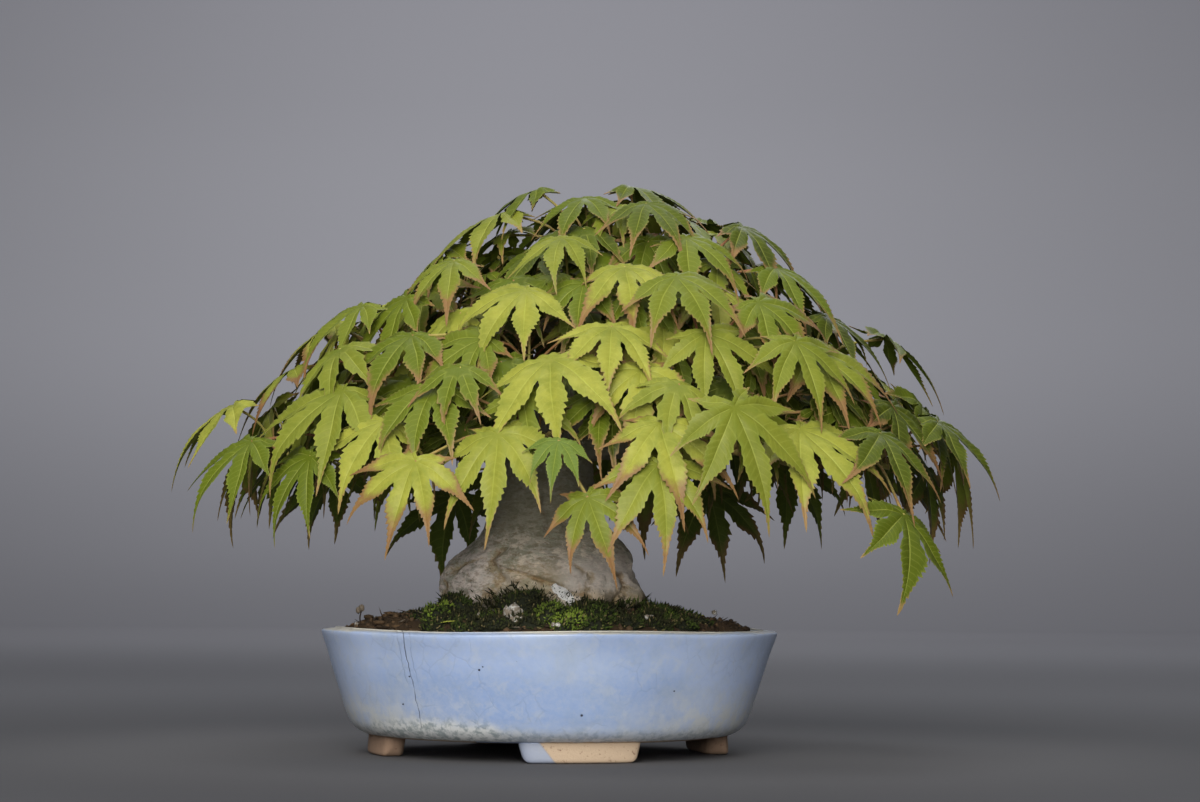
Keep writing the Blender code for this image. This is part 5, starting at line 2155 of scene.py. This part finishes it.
@dataclass(frozen=True)
class Pot:
    """The round glazed bowl with a drain hole and four curved feet. Wall: radius and height."""

    middle: tuple[float, float] = (-0.010, 0.0)
    rim: float = 0.075
    height: float = 0.0405
    rim_width: float = 0.0052
    foot_height: float = 0.006
    floor: float = 0.0045
    wall: Table = (
        (0.0729, 0.0335), (0.0706, 0.0262), (0.0684, 0.0192), (0.0664, 0.0132), (0.0642, 0.0092),
        (0.0606, 0.0068),
    )
    hole: float = 0.008
    turn: float = math.radians(11.4)
    foot_radii: tuple[float, float] = (0.0495, 0.0595)
    foot_spans: tuple[float, float] = (math.radians(36.0), math.radians(41.0))
    foot_sunk: float = 0.0018
    foot_thinner: float = 0.40
    foot_batter: float = 0.0006
    foot_grid: tuple[int, int] = (40, 41)
    hand_push: float = 0.00035
    hand_dip: float = 0.00045
    sides: int = 210

    def profile(self) -> np.ndarray:
        """The bowl's section: down the outer wall, through the hole and up the inner wall.

        Returns:
            Radius and height, one point in a row.
        """
        top, base = self.height, self.foot_height
        wall = ((self.rim - 0.0005, top - 0.0003), (self.rim, top - 0.0014), *self.wall, (0.0560, base))
        inner = (
            (0.0565, base + self.floor),
            (0.0612, 0.0150),
            (0.0655, 0.0262),
            (self.rim - self.rim_width, top - 0.0009),
            (self.rim - self.rim_width + 0.0009, top),
        )
        outer = smooth(np.array(wall), 46)
        well = np.array(((self.hole + 0.0006, base), (self.hole, base + 0.0006)))
        lip = np.array(((self.hole, base + self.floor - 0.0006), (self.hole + 0.0006, base + self.floor)))
        inside = smooth(np.array(inner), 22)
        return np.concatenate((outer, well, lip, inside, outer[:1]))

    def bowl(self) -> Surface:
        """The bowl: the profile turned round its axis.

        Waves push the wall in and out and dip the rim, as on a bowl that was made by hand.

        Returns:
            The closed bowl.
        """
        made = turned(self.profile(), self.sides, self.middle).outward()
        sway = Waves(21, 0.060, 2).at(made.points)
        share = step_up(made.points[:, 2], 0.006, 0.040)
        out = made.points[:, :2] - np.array(self.middle)
        radius = np.linalg.norm(out, axis=1)
        push = self.hand_push * sway * share * step_up(radius, 0.04, 0.06)
        made.points[:, :2] += out / radius[:, None] * push[:, None]
        dip = Waves(22, 0.090, 1).at(made.points * np.array((1.0, 1.0, 0.0)))
        high = step_up(made.points[:, 2], 0.030, 0.040) * (radius > 0.065)
        made.points[:, 2] += self.hand_dip * dip * high
        return made

    def foot(self, bearing: float) -> Surface:
        """A curved foot: a rounded block carried along an arc, thinner at its ends and shorter below.

        The section is a superellipse |r|^n + |z|^n = 1 stretched between the radii and heights.

        Args:
            bearing: The angle of its middle.

        Returns:
            The closed foot, its top sunk in the bowl.
        """
        inner, outer = self.foot_radii
        top = self.foot_height + self.foot_sunk
        columns, rows = self.foot_grid
        turns = TURN * np.arange(columns) / columns
        flat, tall = (np.sign(way) * np.abs(way) ** (2.0 / 7.0) for way in (np.cos(turns), np.sin(turns)))
        along = np.sin(np.linspace(-TURN / 4, TURN / 4, rows))[:, None]
        size = (1.0 - np.abs(along) ** 24) ** 0.5
        size[0] = size[-1] = 0.0
        height = 0.5 * top * (1.0 + tall * size)
        half = 0.5 * (outer - inner) * (1.0 - self.foot_thinner * np.abs(along) ** 3)
        radius = outer - half + half * flat * size - self.foot_batter * height / top
        lower, upper = self.foot_spans
        angle = bearing + 0.5 * along * (lower + (upper - lower) * height / top)
        x = self.middle[0] + radius * np.cos(angle)
        y = self.middle[1] + radius * np.sin(angle)
        points = np.stack((x, y, height), axis=-1).reshape(-1, 3)
        return Surface(points, grid_faces(rows, columns, closed=True)).welded().outward()

    def build(self, effects: Effects) -> Piece:
        """Makes the pot piece.

        Args:
            effects: The shared effects.

        Returns:
            The dressed piece.
        """
        feet = [self.foot(self.turn + TURN * (quarter - 1) / 4) for quarter in range(4)]
        made = together([self.bowl(), *feet]).as_object("glazed_pot")
        return dress(made, GlazeFinish().material(effects), Slot.GLAZE, "pot")


@dataclass(frozen=True)
class Scatter:
    """Small closed shapes that are strewn by the hundred: crumbs of soil and shoots of moss."""

    seed: int

    swells = (0.72, 1.22)
    stretches = (0.65, 1.25)
    levels = np.array((0.0, 0.55))
    widths = (0.7, 1.0)
    stray = 0.16

    def lumps(
        self, places: np.ndarray, sizes: np.ndarray, stretch: tuple[float, ...] = (1.0, 1.0, 1.0)
    ) -> Surface:
        """Small angular stones: a six-sided ball, pushed out of round at every point.

        Args:
            places: Where each lies.
            sizes: Radius of each.
            stretch: How much longer, wider and higher than round they are.

        Returns:
            All of them as one surface of closed lumps.
        """
        chance = np.random.default_rng(self.seed)
        ball = round_ball(4, 6)
        number, size = len(places), len(ball.points)
        push = chance.uniform(*self.swells, (number, size, 1))
        spread = chance.uniform(*self.stretches, (number, 1, 3)) * np.array(stretch)
        shapes = ball.points[None] * push * spread * sizes[:, None, None]
        turns = [Matrix.Rotation(spin, 3, "Z") for spin in chance.uniform(0.0, TURN, number)]
        shapes = np.einsum("nij,nkj->nki", np.array(turns), shapes) + places[:, None]
        faces = ball.faces[None] + (np.arange(number) * size)[:, None, None]
        tones = np.repeat(chance.uniform(0.0, 1.0, number), size)
        return Surface(shapes.reshape(-1, 3), faces.reshape(-1, 4)).marked(tone=tones)

    def spikes(self, feet: np.ndarray, ways: np.ndarray, width: float) -> Surface:
        """Many small pointed bars: a three-sided foot, a wider middle and a point, leaning their way.

        Args:
            feet: Where each starts.
            ways: Its direction times its length.
            width: Radius of its foot.

        Returns:
            All of them, marked with the share of the way to the point.
        """
        chance = np.random.default_rng(self.seed)
        aside = unit(np.cross(ways, np.array((0.31, 0.77, 0.21))))
        other = unit(np.cross(ways, aside))
        angles = TURN * np.arange(3) / 3
        ring = np.cos(angles)[:, None] * aside[:, None] + np.sin(angles)[:, None] * other[:, None]
        reach = np.linalg.norm(ways, axis=1, keepdims=True)
        bend = chance.normal(0.0, self.stray, (len(feet), 3)) * reach
        rows = [
            (feet + ways * level + bend * level**2)[:, None] + ring * width * wide
            for level, wide in zip(self.levels, self.widths)
        ]
        points = np.concatenate([*rows, (feet + ways + bend)[:, None]], axis=1)
        caps = np.array(((0, 1, 2, 2), (3, 6, 4, 4), (4, 6, 5, 5), (5, 6, 3, 3)))
        one = np.concatenate((grid_faces(2, 3, closed=True), caps))
        count, size = points.shape[:2]
        faces = (one[None] + (np.arange(count) * size)[:, None, None]).reshape(-1, 4)
        along = np.tile(np.concatenate((np.repeat(self.levels, 3), [1.0])), count)
        tones = np.repeat(chance.uniform(0.0, 1.0, count), size)
        return Surface(points.reshape(-1, 3), faces).marked(along=along, tone=tones).outward()


@dataclass(frozen=True)
class Ground:
    """The soil's mound with its crumbs, flakes, grit and scraps.

    Grit: X, Y and radius. Scraps: X, Y, bearing in degrees, length.
    """

    pot: Pot
    edge: float = 0.0388
    shoulder: float = 0.0428
    slope: float = 0.0446
    crest: float = 0.0458
    under: float = 0.0120
    crumbs: int = 1500
    crumb_sizes: tuple[float, float] = (0.0004, 0.0012)
    flakes: int = 170
    flake_sizes: tuple[float, float] = (0.0008, 0.0017)
    flake_shape: tuple[float, float, float] = (1.7, 0.9, 0.45)
    strands: int = 260
    strand_lengths: tuple[float, float] = (0.002, 0.006)
    strand_rises: tuple[float, float] = (0.02, 0.40)
    strand_width: float = 0.00022
    flake_lift: float = 0.0004
    stone_lift: float = 0.0022
    grit: Table = (
        (-0.0725, -0.0140, 0.0011), (-0.0215, -0.0530, 0.0016), (-0.0190, -0.0595, 0.0012),
        (-0.0175, -0.0590, 0.0010), (-0.0205, -0.0590, 0.0009), (-0.0225, -0.0520, 0.0020),
        (-0.0200, -0.0500, 0.0024), (-0.0180, -0.0510, 0.0017), (-0.0060, -0.0635, 0.0010),
        (-0.0075, -0.0630, 0.0008), (0.0215, -0.0500, 0.0008), (0.0228, -0.0492, 0.0007),
        (-0.0310, -0.0500, 0.0008), (0.0170, 0.0480, 0.0015), (-0.0420, 0.0350, 0.0012),
        (0.0450, 0.0100, 0.0011),
    )
    scraps: Table = (
        (-0.0440, -0.0520, -8.0, 0.0066), (-0.0310, -0.0560, 35.0, 0.0022),
        (0.0380, -0.0350, 60.0, 0.0040), (0.0300, 0.0420, 20.0, 0.0050),
    )
    sprout: tuple[float, float] = (-0.0706, -0.0200)

    def height(self, x: np.ndarray, y: np.ndarray) -> np.ndarray:
        """The soil's height: straight from edge to shoulder to crest, with waves on it.

        Args:
            x: Places to the right.
            y: Places to the back.

        Returns:
            The height at each.
        """
        radius = np.hypot(x - self.pot.middle[0], y - self.pot.middle[1])
        levels = np.interp(
            radius, (0.030, 0.0475, 0.0595, 0.0686), (self.crest, self.slope, self.shoulder, self.edge)
        )
        flat = np.stack((x, y, 0.0 * x), axis=-1).reshape(-1, 3)
        rough = 0.0008 * Waves(31, 0.013, 3).at(flat).reshape(radius.shape)
        return levels + rough * step_up(radius, 0.070, 0.066)

    def soil_surface(self) -> Surface:
        """The soil's body: a profile turned round the axis, whose top is then set to the height.

        Returns:
            The closed body.
        """
        inner = ((0.0550, self.under), (0.0600, 0.0150), (0.0640, 0.0262), (0.0684, 0.0372))
        wall = smooth(np.array(inner), 12)
        radii = np.linspace(0.0686, 0.0, 44)
        top = np.column_stack((radii, 0.0 * radii))
        profile = np.concatenate((((0.0, self.under),), wall, top))
        made = turned(profile, 160, self.pot.middle)
        top = made.points[:, 2] == 0.0
        x, y = made.points[top, 0], made.points[top, 1]
        made.points[top, 2] = self.height(x, y)
        return made.outward().marked(tone=0.45)

    def scattered(self, count: int, seed: int, low: float, high: float) -> np.ndarray:
        """Draws places on the soil, as dense at each distance from the pot's axis.

        Args:
            count: How many.
            seed: The seed.
            low: The least distance.
            high: The greatest distance.

        Returns:
            The places.
        """
        chance = np.random.default_rng(seed)
        radius = np.sqrt(chance.uniform(low**2, high**2, count))
        angle = chance.uniform(0.0, TURN, count)
        x = self.pot.middle[0] + radius * np.cos(angle)
        y = self.pot.middle[1] + radius * np.sin(angle)
        return np.column_stack((x, y, self.height(x, y)))

    def scrap_surface(self, scrap: tuple[float, float, float, float]) -> Surface:
        """A bit of leaf that lies flat: a bar along a shallow arch, pressed to a fifth.

        Args:
            scrap: Its row of the table.

        Returns:
            The closed surface.
        """
        x, y, bearing, length = scrap
        angle = math.radians(bearing)
        share = np.linspace(0.0, 1.0, 14)
        arch = np.sin(share * TURN / 2)
        along = share * length
        path = np.column_stack((x + along * np.cos(angle), y + along * np.sin(angle), 0.0 * share))
        path[:, 2] = self.height(path[:, 0], path[:, 1]).max() + 0.0006 + 0.0008 * arch
        made = swept(path, 0.16 * length * arch**0.7, 8)
        level = np.interp(made.points[:, 0], *np.sort(path[:, [0, 2]], axis=0).T)
        made.points[:, 2] = level + 0.2 * (made.points[:, 2] - level)
        return made.marked(kind=2.0)

    def sprout_surface(self) -> Surface:
        """A seedling at the rim: a dark bent stem with two round yellow-brown heads.

        Returns:
            The closed surfaces.
        """
        x, y = self.sprout
        foot = float(self.height(np.array([x]), np.array([y]))[0])
        bends = ((x, y, foot - 0.001), (x - 0.0003, y, foot + 0.0022), (x + 0.0003, y, foot + 0.0048))
        path = np.array(bends)
        stem = swept(smooth(path, 9), np.full(9, 0.00022), 6).marked(tone=0.2)
        places = np.array(((x + 0.0003, y, foot + 0.0052), (x - 0.0008, y, foot + 0.0046)))
        heads = Scatter(39).lumps(places, np.array((0.0015, 0.0011))).marked(tone=0.97)
        return together([stem, heads])

    def build(self, effects: Effects) -> Piece:
        """Makes the soil piece with what lies on it.

        Args:
            effects: The shared effects.

        Returns:
            The dressed piece.
        """
        chance = np.random.default_rng(33)
        crumbs = self.scattered(self.crumbs, 34, 0.026, 0.0680)
        flakes = self.scattered(self.flakes, 40, 0.045, 0.0670)
        flakes[:, 2] += self.flake_lift
        feet = self.scattered(self.strands, 36, 0.034, 0.0670)
        spin = chance.uniform(0.0, TURN, self.strands)
        rise = chance.uniform(*self.strand_rises, self.strands)
        reach = chance.uniform(*self.strand_lengths, self.strands)
        ways = np.column_stack((np.cos(spin), np.sin(spin), rise)) * reach[:, None]
        stones = np.array(self.grit)
        beds = np.column_stack((stones[:, :2], self.height(stones[:, 0], stones[:, 1]) + self.stone_lift))
        parts = [
            self.soil_surface(),
            Scatter(35).lumps(crumbs, chance.uniform(*self.crumb_sizes, self.crumbs)),
            Scatter(43).lumps(flakes, chance.uniform(*self.flake_sizes, self.flakes), self.flake_shape),
            Scatter(37).spikes(feet, ways, self.strand_width),
            Scatter(38).lumps(beds, stones[:, 2]).marked(kind=1.0),
            *(self.scrap_surface(scrap) for scrap in self.scraps),
            self.sprout_surface(),
        ]
        made = together(parts).as_object("soil_and_grit")
        return dress(made, SoilFinish().material(effects), Slot.SOIL, "soil")


@dataclass(frozen=True)
class Moss:
    """Moss on the soil: five cushions, and a low mat between them and the foot of the trunk.

    Pads: bearing in degrees, distance from the trunk's axis, half length, half depth, height, how
    bright. Heaps of the mat: X, Y, half length, half depth, height, how bright, number of shoots.
    """

    ground: Ground
    trunk: Trunk
    pads: Table = (
        (-136.0, 0.0395, 0.0110, 0.0080, 0.0075, 0.25), (-100.0, 0.0360, 0.0100, 0.0095, 0.0095, 0.10),
        (-65.0, 0.0370, 0.0100, 0.0090, 0.0058, 0.15), (-30.0, 0.0430, 0.0105, 0.0080, 0.0042, 0.12),
        (100.0, 0.0375, 0.0140, 0.0090, 0.0070, 0.45),
    )
    heaps: Table = (
        (-0.0445, -0.0400, 0.0060, 0.0065, 0.0058, 0.80, 420),
        (-0.0390, -0.0470, 0.0055, 0.0050, 0.0030, 0.15, 260),
        (-0.0320, -0.0430, 0.0060, 0.0070, 0.0048, 0.05, 320),
        (-0.0290, -0.0545, 0.0055, 0.0050, 0.0026, 0.10, 240),
        (-0.0180, -0.0560, 0.0070, 0.0055, 0.0028, 0.05, 260),
        (-0.0080, -0.0505, 0.0065, 0.0070, 0.0058, 0.75, 480),
        (-0.0015, -0.0560, 0.0060, 0.0050, 0.0040, 0.90, 420),
        (0.0065, -0.0500, 0.0065, 0.0070, 0.0045, 0.35, 380),
        (0.0140, -0.0470, 0.0070, 0.0070, 0.0030, 0.05, 320),
        (0.0215, -0.0430, 0.0065, 0.0065, 0.0030, 0.05, 300),
        (0.0285, -0.0410, 0.0045, 0.0050, 0.0028, 0.55, 260),
        (0.0360, -0.0330, 0.0060, 0.0060, 0.0018, 0.10, 200),
        (-0.0500, -0.0240, 0.0050, 0.0060, 0.0022, 0.15, 160),
        (-0.0447, -0.0505, 0.0050, 0.0045, 0.0026, 0.10, 200),
        (-0.0356, -0.0560, 0.0055, 0.0045, 0.0024, 0.05, 200),
        (-0.0257, -0.0592, 0.0055, 0.0045, 0.0024, 0.02, 200),
        (-0.0153, -0.0606, 0.0055, 0.0045, 0.0026, 0.02, 200),
        (-0.0047, -0.0606, 0.0055, 0.0045, 0.0030, 0.75, 240),
        (0.0057, -0.0590, 0.0055, 0.0045, 0.0028, 0.35, 220),
        (0.0156, -0.0556, 0.0055, 0.0045, 0.0026, 0.02, 200),
        (0.0247, -0.0505, 0.0055, 0.0045, 0.0026, 0.05, 200),
        (0.0335, -0.0436, 0.0055, 0.0045, 0.0018, 0.20, 200),
        (0.0330, 0.0300, 0.0080, 0.0070, 0.0040, 0.50, 300),
        (-0.0400, 0.0360, 0.0080, 0.0070, 0.0040, 0.40, 300),
    )
    shoots: int = 800
    climbers: int = 900
    mat: int = 3600
    mat_reach: float = 0.022
    mat_limit: float = 0.0665
    mat_lengths: tuple[float, float] = (0.0010, 0.0026)
    shoot_lengths: tuple[float, float] = (0.0005, 0.0021)
    shoot_width: float = 0.00034
    hair_lengths: tuple[float, float] = (0.0022, 0.0040)
    hair_width: float = 0.00022
    hair_root: float = 0.0018
    sunk: float = 0.0012

    def swelling(self, ways: np.ndarray, seed: int) -> np.ndarray:
        """How far a cushion reaches in each direction: broad and fine lumps on a ball."""
        return 0.84 + 0.13 * Waves(seed, 1.1, 2).at(ways) + 0.06 * Waves(seed + 1, 0.35, 1).at(ways)

    def heap(
        self, middle: np.ndarray, radii: tuple[float, ...], bearing: float, shoots: int, seed: int
    ) -> Surface:
        """One cushion: a dark lumpy heap that short shoots stand out of.

        Args:
            middle: The middle of its underside.
            radii: Half depth, half length and height.
            bearing: Which way its depth points, in radians.
            shoots: How many shoots.
            seed: For its lumps and shoots.

        Returns:
            The cushion's surface.
        """
        turn = np.array(Matrix.Rotation(bearing, 3, "Z"))
        ball = round_ball(15, 28)
        swell = self.swelling(ball.points, seed)[:, None]
        cushion = Surface(middle + (ball.points * radii * swell) @ turn.T, ball.faces)

        chance = np.random.default_rng(seed)
        ways = unit(chance.normal(size=(shoots, 3)))
        ways[:, 2] = np.abs(ways[:, 2])
        feet = middle + (ways * radii * (self.swelling(ways, seed)[:, None] - 0.04)) @ turn.T
        stray = chance.normal(0.0, 60.0, ways.shape)
        lean = unit((ways / radii) @ turn.T + stray + np.array((0.0, 0.0, 50.0)))
        lengths = chance.uniform(*self.shoot_lengths, shoots)
        spikes = Scatter(seed).spikes(feet, lean * lengths[:, None], self.shoot_width)
        return together([cushion.marked(along=0.10, tone=0.3), spikes])

    def pad_surface(self, pad: tuple[float, ...], seed: int) -> Surface:
        """One of the five cushions.

        Args:
            pad: Its row of the table.
            seed: For its lumps and shoots.

        Returns:
            The cushion's surface.
        """
        bearing, distance, half_length, half_depth, height, lit = pad
        angle = math.radians(bearing)
        ring = self.trunk.rings[0]
        middle = np.array((ring[3], ring[4], self.ground.crest - 0.001))
        middle = middle + distance * np.array((math.cos(angle), math.sin(angle), 0.0))
        made = self.heap(middle, (half_depth, half_length, height), angle, self.shoots, seed)
        return made.marked(lit=lit)

    def low_heaps(self) -> list[Surface]:
        """The mat's heaps, which lie on the soil in front of the cushions and beside them.

        Returns:
            A surface for each row of the table.
        """
        made = []
        for number, (x, y, half_length, half_depth, height, lit, shoots) in enumerate(self.heaps):
            level = self.ground.height(np.array([x]), np.array([y]))[0]
            middle = np.array((x, y, level - self.sunk))
            radii = (half_depth, half_length, height + self.sunk)
            bearing = math.atan2(y, x + 0.010)
            heap = self.heap(middle, radii, bearing, shoots, 70 + 2 * number)
            made.append(heap.marked(lit=lit))
        return made

    def climbing(self) -> Surface:
        """Dark hairs that climb the front of the trunk's foot, fewer the higher they are.

        Every fourth hair stands low at any bearing, all round the foot.

        Returns:
            All the hairs.
        """
        chance = np.random.default_rng(45)
        angle = np.radians(chance.normal(-94.0, 13.0, self.climbers))
        angle[::4] = chance.uniform(-math.pi, math.pi, len(angle[::4]))
        height = 0.0465 + 0.0095 * chance.beta(1.0, 2.2, self.climbers)
        height[::4] = np.minimum(height[::4], 0.0500)
        rings = np.array(self.trunk.fine_rings)
        half_width, half_depth, x, y = (np.interp(height, rings[:, 0], rings[:, k]) for k in range(1, 5))
        out = np.column_stack((np.cos(angle), np.sin(angle), 0.0 * angle))
        across = x + (half_width - self.hair_root) * out[:, 0]
        back = y + (half_depth - self.hair_root) * out[:, 1]
        feet = np.column_stack((across, back, height))
        lean = unit(out + chance.normal(0.0, 0.35, out.shape) + np.array((0.0, 0.0, 0.5)))
        lengths = chance.uniform(*self.hair_lengths, self.climbers)
        return Scatter(46).spikes(feet, lean * lengths[:, None], self.hair_width).marked(lit=0.02)

    def mat_surface(self) -> Surface:
        """The mat: shoots thinning out from the trunk's foot, in patches that waves pick out.

        A shoot stays where the patch value is over 1.1 times the share of the way out, less 0.75.

        Returns:
            The shoots, the hairs on the trunk and the low heaps.
        """
        chance = np.random.default_rng(41)
        angle = chance.uniform(0.0, TURN, self.mat)
        out = self.mat_reach * chance.uniform(-0.04, 1.0, self.mat)
        ring = self.trunk.rings[1]
        x = ring[3] + (ring[1] + out) * np.cos(angle)
        y = ring[4] + (ring[2] + out) * np.sin(angle)
        feet = np.column_stack((x, y, self.ground.height(x, y) - 0.0003))
        patches = Waves(44, 0.016, 2).at(feet)
        radius = np.hypot(x - self.ground.pot.middle[0], y)
        away = out / self.mat_reach
        dense = patches > away * 1.1 - 0.75
        kept = dense & (radius < self.mat_limit) & ((x > -0.047) | (y > 0.010))
        feet, angle = feet[kept], angle[kept]
        patch = np.maximum(patches[kept], 0.0)
        near = np.maximum(1.0 - away[kept], 0.0)
        count = len(feet)
        feet[:, 2] += (0.0012 + 0.0012 * patch) * near
        lean = np.column_stack((0.35 * np.cos(angle), 0.35 * np.sin(angle), np.ones(count)))
        lean += chance.normal(0.0, 0.40, lean.shape)
        low = 1.0 - 0.55 * step_up(np.abs(feet[:, 0] + 0.008), 0.030, 0.042)
        lengths = chance.uniform(*self.mat_lengths, count) * (0.8 + 0.7 * near) * low
        shoots = Scatter(42).spikes(feet, unit(lean) * lengths[:, None], self.shoot_width)
        lit = np.repeat(0.15 + 0.35 * patch, len(shoots.points) // count)
        return together([shoots.marked(lit=lit), self.climbing(), *self.low_heaps()])

    def build(self, effects: Effects) -> list[Piece]:
        """Makes the cushions and the mat.

        Args:
            effects: The shared effects.

        Returns:
            The dressed pieces.
        """
        material = MossFinish().material(effects)
        made = []
        for number, pad in enumerate(self.pads, start=1):
            piece = self.pad_surface(pad, 50 + 2 * number).as_object(f"moss_cushion_{number}")
            made.append(dress(piece, material, Slot.MOSS, f"moss_{number}"))
        made.append(dress(self.mat_surface().as_object("moss_mat"), material, Slot.MOSS))
        return made


@dataclass(frozen=True)
class Lamp:
    """A soft light: its place, what it faces, width and height, watts, colour and spread in degrees."""

    name: str
    place: tuple[float, float, float]
    aim: tuple[float, float, float]
    size: tuple[float, float]
    power: float
    colour: Colour
    spread: float = 180.0

    def build(self) -> None:
        """Hangs the light."""
        lamp = bpy.data.lights.new(self.name, "AREA")
        lamp.shape = "RECTANGLE"
        lamp.size, lamp.size_y = self.size
        lamp.spread = math.radians(self.spread)
        lamp.energy = self.power
        lamp.color = self.colour
        made = bpy.data.objects.new(self.name, lamp)
        made.location = self.place
        made.rotation_euler = (Vector(self.aim) - made.location).to_track_quat("-Z", "Y").to_euler()
        bpy.context.scene.collection.objects.link(made)


@dataclass(frozen=True)
class Studio:
    """A grey paper floor that rises into a round backdrop, soft lights, and the camera."""

    eye: tuple[float, float, float] = (0.00676, -0.94, 0.0555)
    tilt: float = math.radians(93.7)
    roll: float = math.radians(-0.35)
    lens: float = 85.0
    sensor: float = 36.0
    floor_reach: float = 2.6
    floor_rise: float = 2.4
    floor_bend: float = 0.8
    floor_gap: float = 0.00005
    pool: Colour = (0.122, 0.120, 0.123)
    ground: Colour = (0.067, 0.0665, 0.0710)
    near: Colour = (0.114, 0.114, 0.122)
    foot: Colour = (0.144, 0.144, 0.155)
    wall: Colour = (0.222, 0.222, 0.239)
    top: Colour = (0.178, 0.178, 0.194)
    sky: Colour = (0.90, 0.93, 1.0)
    sky_strength: float = 0.36
    lamps: tuple[Lamp, ...] = (
        Lamp("key_light", (-0.25, -1.35, 0.85), (0.0, 0.0, 0.09), (0.8, 0.8), 17.0, (1.0, 0.985, 0.96)),
        Lamp(
            "front_light", (-0.02, -1.6, 0.34), (0.0, 0.0, 0.05), (0.8, 0.5), 3.0, (1.0, 0.99, 0.98), 80.0
        ),
        Lamp("top_light", (0.0, 0.0, 1.5), (0.0, 0.0, 0.09), (1.0, 1.0), 6.0, (0.98, 0.99, 1.0)),
        Lamp("back_light", (0.2, 1.3, 1.0), (0.0, 0.0, 0.09), (1.0, 1.0), 6.0, (0.95, 0.97, 1.0)),
        Lamp("wall_light", (0.0, 1.9, 1.7), (0.0, 3.4, 0.7), (1.0, 1.0), 33.0, (0.98, 0.98, 1.0)),
    )

    def floor(self) -> None:
        """Lays the floor: flat out to a bend, then a quarter circle up to a wall.

        The paper is painted with light and shade: palest in a painted pool of light under the pot and on
        the wall, where a painted soft beam lifts it, and painted darker round the pot and at the top.
        """
        bend = np.linspace(0.0, TURN / 4, 24)
        reach, radius = self.floor_reach, self.floor_bend
        curve = np.column_stack((reach + radius * np.sin(bend), radius * (1.0 - np.cos(bend))))
        profile = np.concatenate((((0.0, 0.0), (0.5, 0.0)), curve, ((reach + radius, self.floor_rise),)))
        made = turned(profile, 96)
        made.points[:, 2] -= self.floor_gap
        floor = made.as_object("studio_floor")
        skin = Skin("studio_paper")
        far, height = skin.place.length(), skin.place.axis("Z")
        shade = skin.layers(
            self.pool,
            (self.ground, far.ramp(0.05, 0.26)),
            (self.near, far.ramp(0.15, 0.62)),
            (self.foot, far.ramp(0.80, 1.90)),
            (self.wall, height.ramp(0.0, 0.45)),
            (self.top, height.ramp(0.65, 1.10)),
        )
        # Painted light: a soft beam painted on the wall lifts its middle.
        beam = height.ramp(0.0, 0.12) * abs(skin.place.axis("X") + 0.15).ramp(1.15, 0.0)
        floor.data.materials.append(skin.finish(shade.scaled(beam * 0.17 + 1.0), 0.9, specular=0.1))

    def build(self) -> None:
        """Sets the floor, the lights, the sky and the camera."""
        self.floor()
        for lamp in self.lamps:
            lamp.build()
        scene = bpy.context.scene
        world = bpy.data.worlds.new("studio_sky")
        world.use_nodes = True
        background = world.node_tree.nodes["Background"]
        background.inputs["Color"].default_value = (*self.sky, 1.0)
        background.inputs["Strength"].default_value = self.sky_strength
        scene.world = world
        scene.view_settings.view_transform = "Standard"
        camera = bpy.data.cameras.new("camera")
        camera.lens = self.lens
        camera.sensor_width = self.sensor
        holder = bpy.data.objects.new("camera", camera)
        holder.location = self.eye
        holder.rotation_euler = (self.tilt, self.roll, 0.0)
        scene.collection.objects.link(holder)
        scene.camera = holder


def check_layout(sprays: list[Spray]) -> None:
    """Reports how far the leaf joints of each spray lie outside its solid's box.

    Args:
        sprays: The sprays with their leaves.
    """
    worst = 0.0
    for number, spray in enumerate(sprays, start=1):
        low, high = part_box(f"spray_{number:02d}")
        for leaf in spray.leaves:
            if not leaf.small:
                over = [max(low[i] - leaf.joint[i], leaf.joint[i] - high[i], 0.0) for i in range(3)]
                worst = max(worst, max(over))
    LOG.info("leaf joints lie at most %.4f mm outside their solids' boxes", 1000.0 * worst)


def main() -> None:
    """Builds the pieces in order, from the pot up to the leaves."""
    logging.basicConfig(level=logging.INFO, format="%(name)s: %(message)s", stream=sys.stdout)
    effects = Effects(mottle_group(), speck_group())
    trunk = Trunk()
    pot = Pot()
    pot.build(effects)
    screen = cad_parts["drain_screen"]
    screen.data.materials.clear()
    screen.data.materials.append(ScreenFinish().material(effects))
    ground = Ground(pot)
    ground.build(effects)
    Moss(ground, trunk).build(effects)
    bars, sprays = trunk.limbs()
    CrownPlan(trunk.crown).fill(trunk, sprays, bars)
    check_layout(sprays)
    trunk.build(bars, effects)
    Foliage(sprays).build(effects, trunk.twig_radius)
    Studio().build()


if __name__ == "__main__":
    main()
